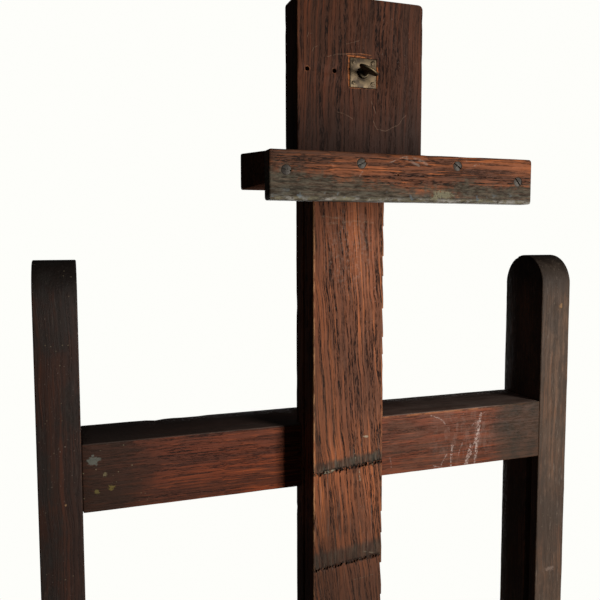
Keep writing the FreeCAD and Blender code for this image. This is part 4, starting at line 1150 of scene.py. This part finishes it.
def make_holder(name, way, seed, lip_rolls, holes):
    """A canvas holder: board, cheeks, sloped ledge, lip, plate and screws. way is 1 for the head."""
    cheek_heads = screw_set(name + "_cheek_screws", "back", (0, 50, 100, 150))
    ledge_heads = screw_set(name + "_ledge_screws", "back", (20, 95))
    lip_heads = screw_set(name + "_lip_screws", "front", lip_rolls, 0.35 * MM)

    low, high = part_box(name + "_board")
    plate_low, plate_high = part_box(name + "_screw_plate")
    slack = 0.5 * MM
    recess = block((plate_low.x - slack, low.y - 3 * MM, plate_low.z - slack),
                   (plate_high.x + slack, plate_high.y, plate_high.z + slack))
    length = high.z - low.z
    turn = 4.5 * MM

    def round_corners(share, near, far):
        """Rounds the board's two corners away from the ledge."""
        gap = length * (1 - share if way > 0 else share)
        pull = turn - math.sqrt(max(turn ** 2 - max(turn - gap, 0.0) ** 2, 0.0))
        return [near[0] + pull, near[1]], [far[0] - pull, far[1]]

    steps = [turn * (1 - math.cos(math.pi / 2 * i / 7)) for i in range(1, 8)]
    more = [length - step if way > 0 else step for step in steps]
    wood = plank(name + "_board_wood", low, high, "z", Wear(seed, 1.0 * MM, 18, 1.3 * MM), 7 * MM,
                 round_corners, more)
    wood_cuts = [recess] + pockets(ledge_heads, "back")
    plate_height = (plate_low.z + plate_high.z) / 2
    for across in holes:
        wood_cuts.append(drum((across, low.y - 2 * MM, plate_height), (0, 1, 0), 2.0 * MM, 14 * MM, 20))
    carve(wood, wood_cuts, 0.35 * MM)
    board_oak = oak(f"oak_{name}_board", "z", seed * 0.8, light=(0.134, 0.041, 0.0165),
                    deep=(0.062, 0.024, 0.0120), glow=(0.185, 0.042, 0.013), pores=1.15, drift=-0.03,
                    edge_wear=0.9, shine=0.08, extra=head_marks if way > 0 else None)
    dress(wood, board_oak, name + "_board")

    strip_oak = oak(f"oak_{name}_cheeks", "z", seed * 1.1, light=(0.130, 0.050, 0.030))
    for side in ("left", "right"):
        node = f"{name}_{side}_cheek"
        low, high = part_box(node)
        inner = MAST_LOW.x - 0.2 * MM if side == "left" else MAST_HIGH.x + 0.2 * MM
        strip_low = (low.x if side == "left" else inner, low.y, low.z)
        strip_high = (inner if side == "left" else high.x, high.y, high.z)
        wear = Wear(seed + 7, 0.7 * MM, 6, 1.0 * MM)
        cheek = plank(node + "_wood", strip_low, strip_high, "z", wear, 9 * MM)
        heads = [face for face in cheek_heads if low.x <= face.x <= high.x]
        dress(carve(cheek, pockets(heads, "back"), 0.3 * MM), strip_oak, node)
        start, end = (inner - 1 * MM, high.x) if side == "left" else (low.x, inner + 1 * MM)
        tongue_front = POST_FRONT - TRACK_AHEAD - TRACK_WIDE + 0.4 * MM
        tongue_back = tongue_front + TRACK_WIDE - 0.8 * MM
        tongue = plank(node + "_tongue", (start, tongue_front, low.z), (end, tongue_back, high.z), "z",
                       Wear(seed + 8, 0.4 * MM, 0, 0.0), 40 * MM)
        dress(tongue, strip_oak, node)

    low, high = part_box(name + "_ledge")
    thin = 24 * MM
    flat = high.z - low.z - thin
    start = (low.x, low.y, low.z if way > 0 else low.z + flat)
    finish = (high.x, high.y, high.z - flat if way > 0 else high.z)
    ledge = plank(name + "_ledge_wood", start, finish, "x", Wear(seed + 3, 1.2 * MM, 16, 1.6 * MM), 9 * MM)
    for point in ledge.data.vertices:
        share = (point.co.z - start[2]) / thin if way > 0 else (finish[2] - point.co.z) / thin
        back = (point.co.y - low.y) / (high.y - low.y)
        point.co.z += way * share * back * flat
    ledge_oak = oak(f"oak_{name}_ledge", "x", seed * 1.9, light=(0.150, 0.058, 0.034),
                    deep=(0.080, 0.038, 0.026), glow=(0.22, 0.080, 0.038), shine=0.0)
    dress(carve(ledge, []), ledge_oak, name + "_ledge")

    low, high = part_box(name + "_lip")
    wear = Wear(seed + 5, 1.4 * MM, 24, 1.6 * MM)
    lip = plank(name + "_lip_wood", low, high, "x", wear, 6 * MM)
    lip_cuts = pockets(lip_heads, "front")
    if way > 0:
        pin_hole = (low.x + 103.8 * MM, low.y - 1 * MM, low.z + 20.7 * MM)
        lip_cuts.append(drum(pin_hole, (0, 1, 0), 0.8 * MM, 5 * MM, 12))
    carve(lip, lip_cuts, 0.25 * MM)
    lip_oak = oak(f"oak_{name}_lip", "x", seed * 2.3, light=(0.270, 0.085, 0.032),
                  deep=(0.100, 0.038, 0.019), glow=(0.58, 0.160, 0.038), pores=1.35, drift=0.01,
                  edge_wear=0.75, extra=lip_marks(low, high, way > 0))
    dress(lip, lip_oak, name + "_lip")
    make_plate(name, plate_low, plate_high)


def make_plate(name, low, high):
    """A square brass plate with eased edges, and its four small screws."""
    side = 0.5 * MM
    rings = []
    for depth, inset in ((high.y, 0.0), (low.y + 0.5 * MM, 0.0), (low.y + 0.12 * MM, 0.25 * MM),
                         (low.y, 0.7 * MM)):
        ring = ring_of((low.x + inset, low.z + inset), (high.x - inset, high.z - inset), [side] * 4)
        rings.append([(x, depth, z) for x, z in ring])
    plate = skin(name + "_plate_brass", rings)
    centre = (low + high) / 2
    bore = drum((centre.x, low.y - 2 * MM, centre.z), (0, 1, 0), 3.1 * MM, 8 * MM, 32)
    dress(carve(plate, [bore], 0.15 * MM), PLATE_BRASS, name + "_screw_plate")
    faces = [screw_face(solid, "front") for solid in solids(name + "_plate_screws")]
    template = slotted_head(1.95 * MM, 0.35 * MM, 0.5 * MM, 0.9 * MM, 6 * MM, 0.5 * MM, 0.55 * MM)
    spots = [(Vector((face.x, low.y - 0.25 * MM, face.z)), OUTWARD["front"], math.radians(50 + 83 * i))
             for i, face in enumerate(faces)]
    flock("screws_" + name + "_plate", template, spots, PLATE_BRASS, name + "_plate_screws")
    bpy.data.objects.remove(template)


plate_middle = (PLATE_LOW.x + PLATE_HIGH.x) / 2
make_holder("head", 1, 81, (-10, 25, -35, -50), [plate_middle - 27.2 * MM, plate_middle - 52.4 * MM])
make_holder("tray", -1, 91, (12, 49, 86, 123, 160, 17), [])
screw_set("brace_screws", "back", (0, 40, 80, 120))


# ---------------------------------------------------------------- bolts, pegs, nuts and thumbscrews

def along_x(node, head):
    """Where things fixed in the outer sides sit: (place, outward axis) for each solid."""
    spots = []
    for centre, low, high in solids(node):
        way = 1 if centre.x > 0 else -1
        outer = high.x if way > 0 else low.x
        spots.append((Vector((outer - way * head, centre.y, centre.z)), Vector((way, 0, 0))))
    return spots


BOLT_HEAD = 5.5 * MM
WASHER_THICK = 2 * MM
bolt = hex_bolt(7.4 * MM, BOLT_HEAD, 4 * MM, 60 * MM)
spots = [(place, axis, 0.3 + i) for i, (place, axis) in enumerate(along_x("coach_bolts", BOLT_HEAD))]
flock("coach_bolt_heads", bolt, spots, IRON, "coach_bolts", smooth=30)
bpy.data.objects.remove(bolt)

washer = ring_washer(10 * MM, 4.3 * MM, WASHER_THICK)
spots = [(place, axis, 0.0) for place, axis in along_x("coach_washers", WASHER_THICK)]
flock("coach_washer_rings", washer, spots, IRON, "coach_washers", smooth=30)
lock_low, lock_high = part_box("mast_washer")
lock = Vector(((lock_low.x + lock_high.x) / 2, lock_low.y, (lock_low.z + lock_high.z) / 2))
flock("mast_washer_ring", washer, [(lock, OUTWARD["back"], 0.0)], IRON, "mast_washer", smooth=30)
bpy.data.objects.remove(washer)

first = solids("foot_pegs")[0]
peg_long = first[2].x - first[1].x
peg_radius = (first[2].z - first[1].z) / 2
peg = skin("peg", lathe([(peg_radius * 0.55, 0.0), (peg_radius * 0.90, 0.25 * MM), (peg_radius, 0.9 * MM),
                         (peg_radius, peg_long - 0.9 * MM), (peg_radius * 0.90, peg_long - 0.25 * MM),
                         (peg_radius * 0.55, peg_long)], 28))
spots = [(Vector((low.x, centre.y, centre.z)), Vector((1, 0, 0)), i * 1.1)
         for i, (centre, low, high) in enumerate(solids("foot_pegs"))]
flock("peg_rods", peg, spots, oak("oak_pegs", "x", 77.0, light=(0.20, 0.085, 0.045), grey=0.2), "foot_pegs")
bpy.data.objects.remove(peg)


def threaded(radius, length, pitch, deep, plain):
    """A bar up +Z with a thread on its end beyond a plain length."""
    rings = []
    steps = max(2, round((length - plain) / (pitch / 6)))
    heights = [0.0, plain * 0.5, plain] + [plain + (length - plain) * (i + 1) / steps for i in range(steps)]
    for height in heights:
        ring = []
        for i, angle in enumerate(angles(24)):
            phase = (height / pitch - i / 24) % 1.0
            cut = deep * (1 - abs(2 * phase - 1)) if height > plain else 0.0
            size = radius - cut - (0.8 * MM if height > length - 0.5 * MM else 0.0)
            ring.append(Vector((size * math.cos(angle), size * math.sin(angle), height)))
        rings.append(ring)
    return skin("bar", rings)


def place_as(piece, name, matrix):
    piece.data.transform(matrix)
    piece.name = name
    piece.data.name = name
    return piece


low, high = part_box("mast_bolt")
tee_thick = 6.5 * MM
head = block((low.x, low.y, low.z), (high.x, low.y + tee_thick, high.z))
head.name = "mast_bolt_head"
carve(head, [])
soften(head, 0.8 * MM, 3, 30)
dress(head, IRON, "mast_bolt")
bar = threaded(4 * MM, high.y - low.y - tee_thick, 1.4 * MM, 0.55 * MM, 52 * MM)
at = Vector(((low.x + high.x) / 2, low.y + tee_thick - 0.5 * MM, (low.z + high.z) / 2))
place_as(bar, "mast_bolt_bar", Matrix.Translation(at) @ facing(OUTWARD["back"]))
dress(bar, IRON, "mast_bolt", smooth=50)


def merged(pieces):
    """Several overlapping parts in one mesh."""
    work = bmesh.new()
    for piece in pieces:
        work.from_mesh(piece.data)
        bpy.data.objects.remove(piece)
    mesh = bpy.data.meshes.new("parts")
    work.to_mesh(mesh)
    work.free()
    return stand("parts", mesh)


def cast(name, parts, voxel, rounds):
    """Melts overlapping parts into one cast shape."""
    whole = merged(parts)
    remesh = whole.modifiers.new("remesh", "REMESH")
    remesh.mode = "VOXEL"
    remesh.voxel_size = voxel
    smooth = whole.modifiers.new("smooth", "SMOOTH")
    smooth.iterations = rounds
    smooth.factor = 0.5
    apply_modifiers(whole)
    whole.name = name
    whole.data.name = name
    return whole


def oval_plate(long, wide, thick, middle):
    """A flat oval with a rounded rim, lying in X and Z about a middle, thin in Y."""
    half_rim = ((1.0, 0.74), (0.86, 0.90), (0.5, 0.985))
    rim = [(-share, size) for share, size in half_rim] + [(0.0, 1.0)] + list(reversed(half_rim))
    rings = []
    for share, size in rim:
        ring = []
        for angle in angles(40):
            ring.append(Vector((middle[0] + (long / 2) * size * math.cos(angle), share * thick / 2,
                                middle[1] - (wide / 2) * size * math.sin(angle))))
        rings.append(ring)
    return skin("oval", rings)


low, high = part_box("wing_nut")
nut_high = 13 * MM
hub = skin("hub", lathe([(7.0 * MM, 0.0), (8.7 * MM, 0.3 * MM), (9.0 * MM, 1.0 * MM), (8.2 * MM, 6.0 * MM),
                         (7.2 * MM, nut_high - 0.8 * MM), (6.4 * MM, nut_high)], 36))
parts = [hub]
for way in (-1, 1):
    parts.append(oval_plate(16.4 * MM, 16 * MM, 3.4 * MM, (way * 8.8 * MM, nut_high)))
    parts.append(oval_plate(12 * MM, 13 * MM, 3.2 * MM, (way * 5.5 * MM, nut_high - 3 * MM)))
nut = cast("wing_nut_cast", parts, 0.55 * MM, 4)
mouth = drum((0, 0, nut_high - 0.2 * MM), (0, 0, 1), 6.0 * MM, 20 * MM, 32)
bore = drum((0, 0, -2 * MM), (0, 0, 1), 4.06 * MM, 40 * MM, 32)
carve(nut, [mouth, bore], 0)
at = Vector(((low.x + high.x) / 2, low.y, (low.z + high.z) / 2))
place_as(nut, "wing_nut_cast", Matrix.Translation(at) @ facing(OUTWARD["back"]))
dress(nut, IRON, "wing_nut", smooth=50)

for name, way in (("head", 1), ("tray", -1)):
    low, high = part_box(name + "_thumbscrew")
    plate_low, plate_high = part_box(name + "_screw_plate")
    long = high.y - low.y
    face = high.y - plate_low.y
    collar = 2.4 * MM
    paddle = 11 * MM
    stem = skin("stem", lathe([(2.4 * MM, 0.0), (3.0 * MM, 0.6 * MM), (3.0 * MM, face + 0.05 * MM),
                               (4.7 * MM, face + 0.1 * MM), (5.0 * MM, face + 0.45 * MM),
                               (5.0 * MM, face + collar - 0.5 * MM), (4.5 * MM, face + collar),
                               (3.0 * MM, face + collar + 0.4 * MM), (2.6 * MM, face + collar + 2.0 * MM),
                               (2.9 * MM, long - paddle + 1.5 * MM), (1.2 * MM, long - paddle * 0.55)], 32))
    blade = oval_plate(19 * MM, paddle, 2.6 * MM, (0.0, long - paddle / 2))
    screw = cast(name + "_thumbscrew_cast", [stem, blade], 0.34 * MM, 2)
    middle = Vector(((low.x + high.x) / 2, high.y, (low.z + high.z) / 2))
    slope = Matrix.Rotation(math.radians(-25 * way), 4, "Z")
    turn = Matrix.Translation(middle) @ facing(OUTWARD["front"]) @ slope
    place_as(screw, name + "_thumbscrew_cast", turn)
    dress(screw, BRASS, name + "_thumbscrew", smooth=60)

# ---------------------------------------------------------------- stage, light and camera

def area_light(name, place, target, size, watts, colour=(1, 1, 1)):
    lamp = bpy.data.lights.new(name, "AREA")
    lamp.shape = "RECTANGLE"
    lamp.size, lamp.size_y = size
    lamp.energy = watts
    lamp.color = colour
    holder = stand(name, lamp)
    holder.location = place
    holder.rotation_euler = (Vector(target) - Vector(place)).to_track_quat("-Z", "Y").to_euler()
    return holder


CENTRE = Vector((0, POST_FRONT, POST_TOP - 150 * MM))
key_place = CENTRE + Vector((1.60, -2.55, 0.10))
key_light = area_light("key", key_place, CENTRE, (0.7, 1.5), 105, (1.0, 0.97, 0.93))
back_place = CENTRE + Vector((1.1, 2.5, -0.75))
back_light = area_light("back", back_place, CENTRE - Vector((0, 0, 0.1)), (1.6, 1.2), 75)
low_light = area_light("low", Vector((-2.6, 0.3, 0.62)), Vector((0, 0.1, 0.06)), (0.9, 0.4), 7)
low_light.data.spread = math.radians(30)

PALE = (0.99, 0.99, 0.955)
floor_mesh = bpy.data.meshes.new("floor")
far = 1.7
rim = [(far * math.cos(angle), far * math.sin(angle), 0) for angle in angles(96)]
floor_mesh.from_pydata(rim, [], [tuple(range(96))])
floor = stand("floor", floor_mesh)
g = Graph("floor_pale")
seen = g.nodes.new("ShaderNodeLightPath").outputs["Is Camera Ray"]
white = g.nodes.new("ShaderNodeBsdfDiffuse")
white.inputs["Color"].default_value = (0.80, 0.80, 0.772, 1)
dim = g.nodes.new("ShaderNodeBsdfDiffuse")
dim.inputs["Color"].default_value = (0.03, 0.03, 0.03, 1)
blend = g.nodes.new("ShaderNodeMixShader")
g.links.new(seen, blend.inputs[0])
g.links.new(dim.outputs[0], blend.inputs[1])
g.links.new(white.outputs[0], blend.inputs[2])
g.links.new(blend.outputs[0], g.nodes["Material Output"].inputs["Surface"])
floor.data.materials.append(g.material)

sun = bpy.data.lights.new("floor_light", "SUN")
sun.energy = 4.05
sun.angle = math.radians(50)
sun_holder = stand("floor_light", sun)
sun_holder.rotation_euler = (math.radians(12), math.radians(14), 0)
only_floor = bpy.data.collections.new("lit_by_floor_light")
only_floor.objects.link(floor)
sun_holder.light_linking.receiver_collection = only_floor
not_floor = bpy.data.collections.new("lit_by_the_others")
not_floor.objects.link(floor)
not_floor.collection_objects[0].light_linking.link_state = "EXCLUDE"
for lamp in (key_light, back_light, low_light):
    lamp.light_linking.receiver_collection = not_floor

world = bpy.data.worlds.new("studio")
world.use_nodes = True
bpy.context.scene.world = world
tree = world.node_tree
seen = tree.nodes.new("ShaderNodeLightPath").outputs["Is Camera Ray"]
sky = tree.nodes["Background"]
sky.inputs["Color"].default_value = (1, 1, 1, 1)
sky.inputs["Strength"].default_value = 0.026
backdrop = tree.nodes.new("ShaderNodeBackground")
backdrop.inputs["Color"].default_value = (*PALE, 1)
choose = tree.nodes.new("ShaderNodeMixShader")
tree.links.new(seen, choose.inputs[0])
tree.links.new(sky.outputs[0], choose.inputs[1])
tree.links.new(backdrop.outputs[0], choose.inputs[2])
tree.links.new(choose.outputs[0], tree.nodes["World Output"].inputs["Surface"])

bpy.context.scene.view_settings.view_transform = "Standard"

camera_data = bpy.data.cameras.new("camera")
camera_data.sensor_width = 36
camera_data.lens = 40.62
camera_data.shift_x = -0.0018
camera_data.shift_y = -0.0134
camera = stand("camera", camera_data)
eye = Vector((-256.3 * MM, POST_FRONT - 630.6 * MM, POST_TOP + 18.1 * MM))
turned, lowered, rolled = math.radians(19.015), math.radians(4.407), math.radians(-0.097)
aim = (Matrix.Rotation(-turned, 4, "Z") @ Matrix.Rotation(math.pi / 2 - lowered, 4, "X")
       @ Matrix.Rotation(rolled, 4, "Z"))
camera.matrix_world = Matrix.Translation(eye) @ aim
bpy.context.scene.camera = camera
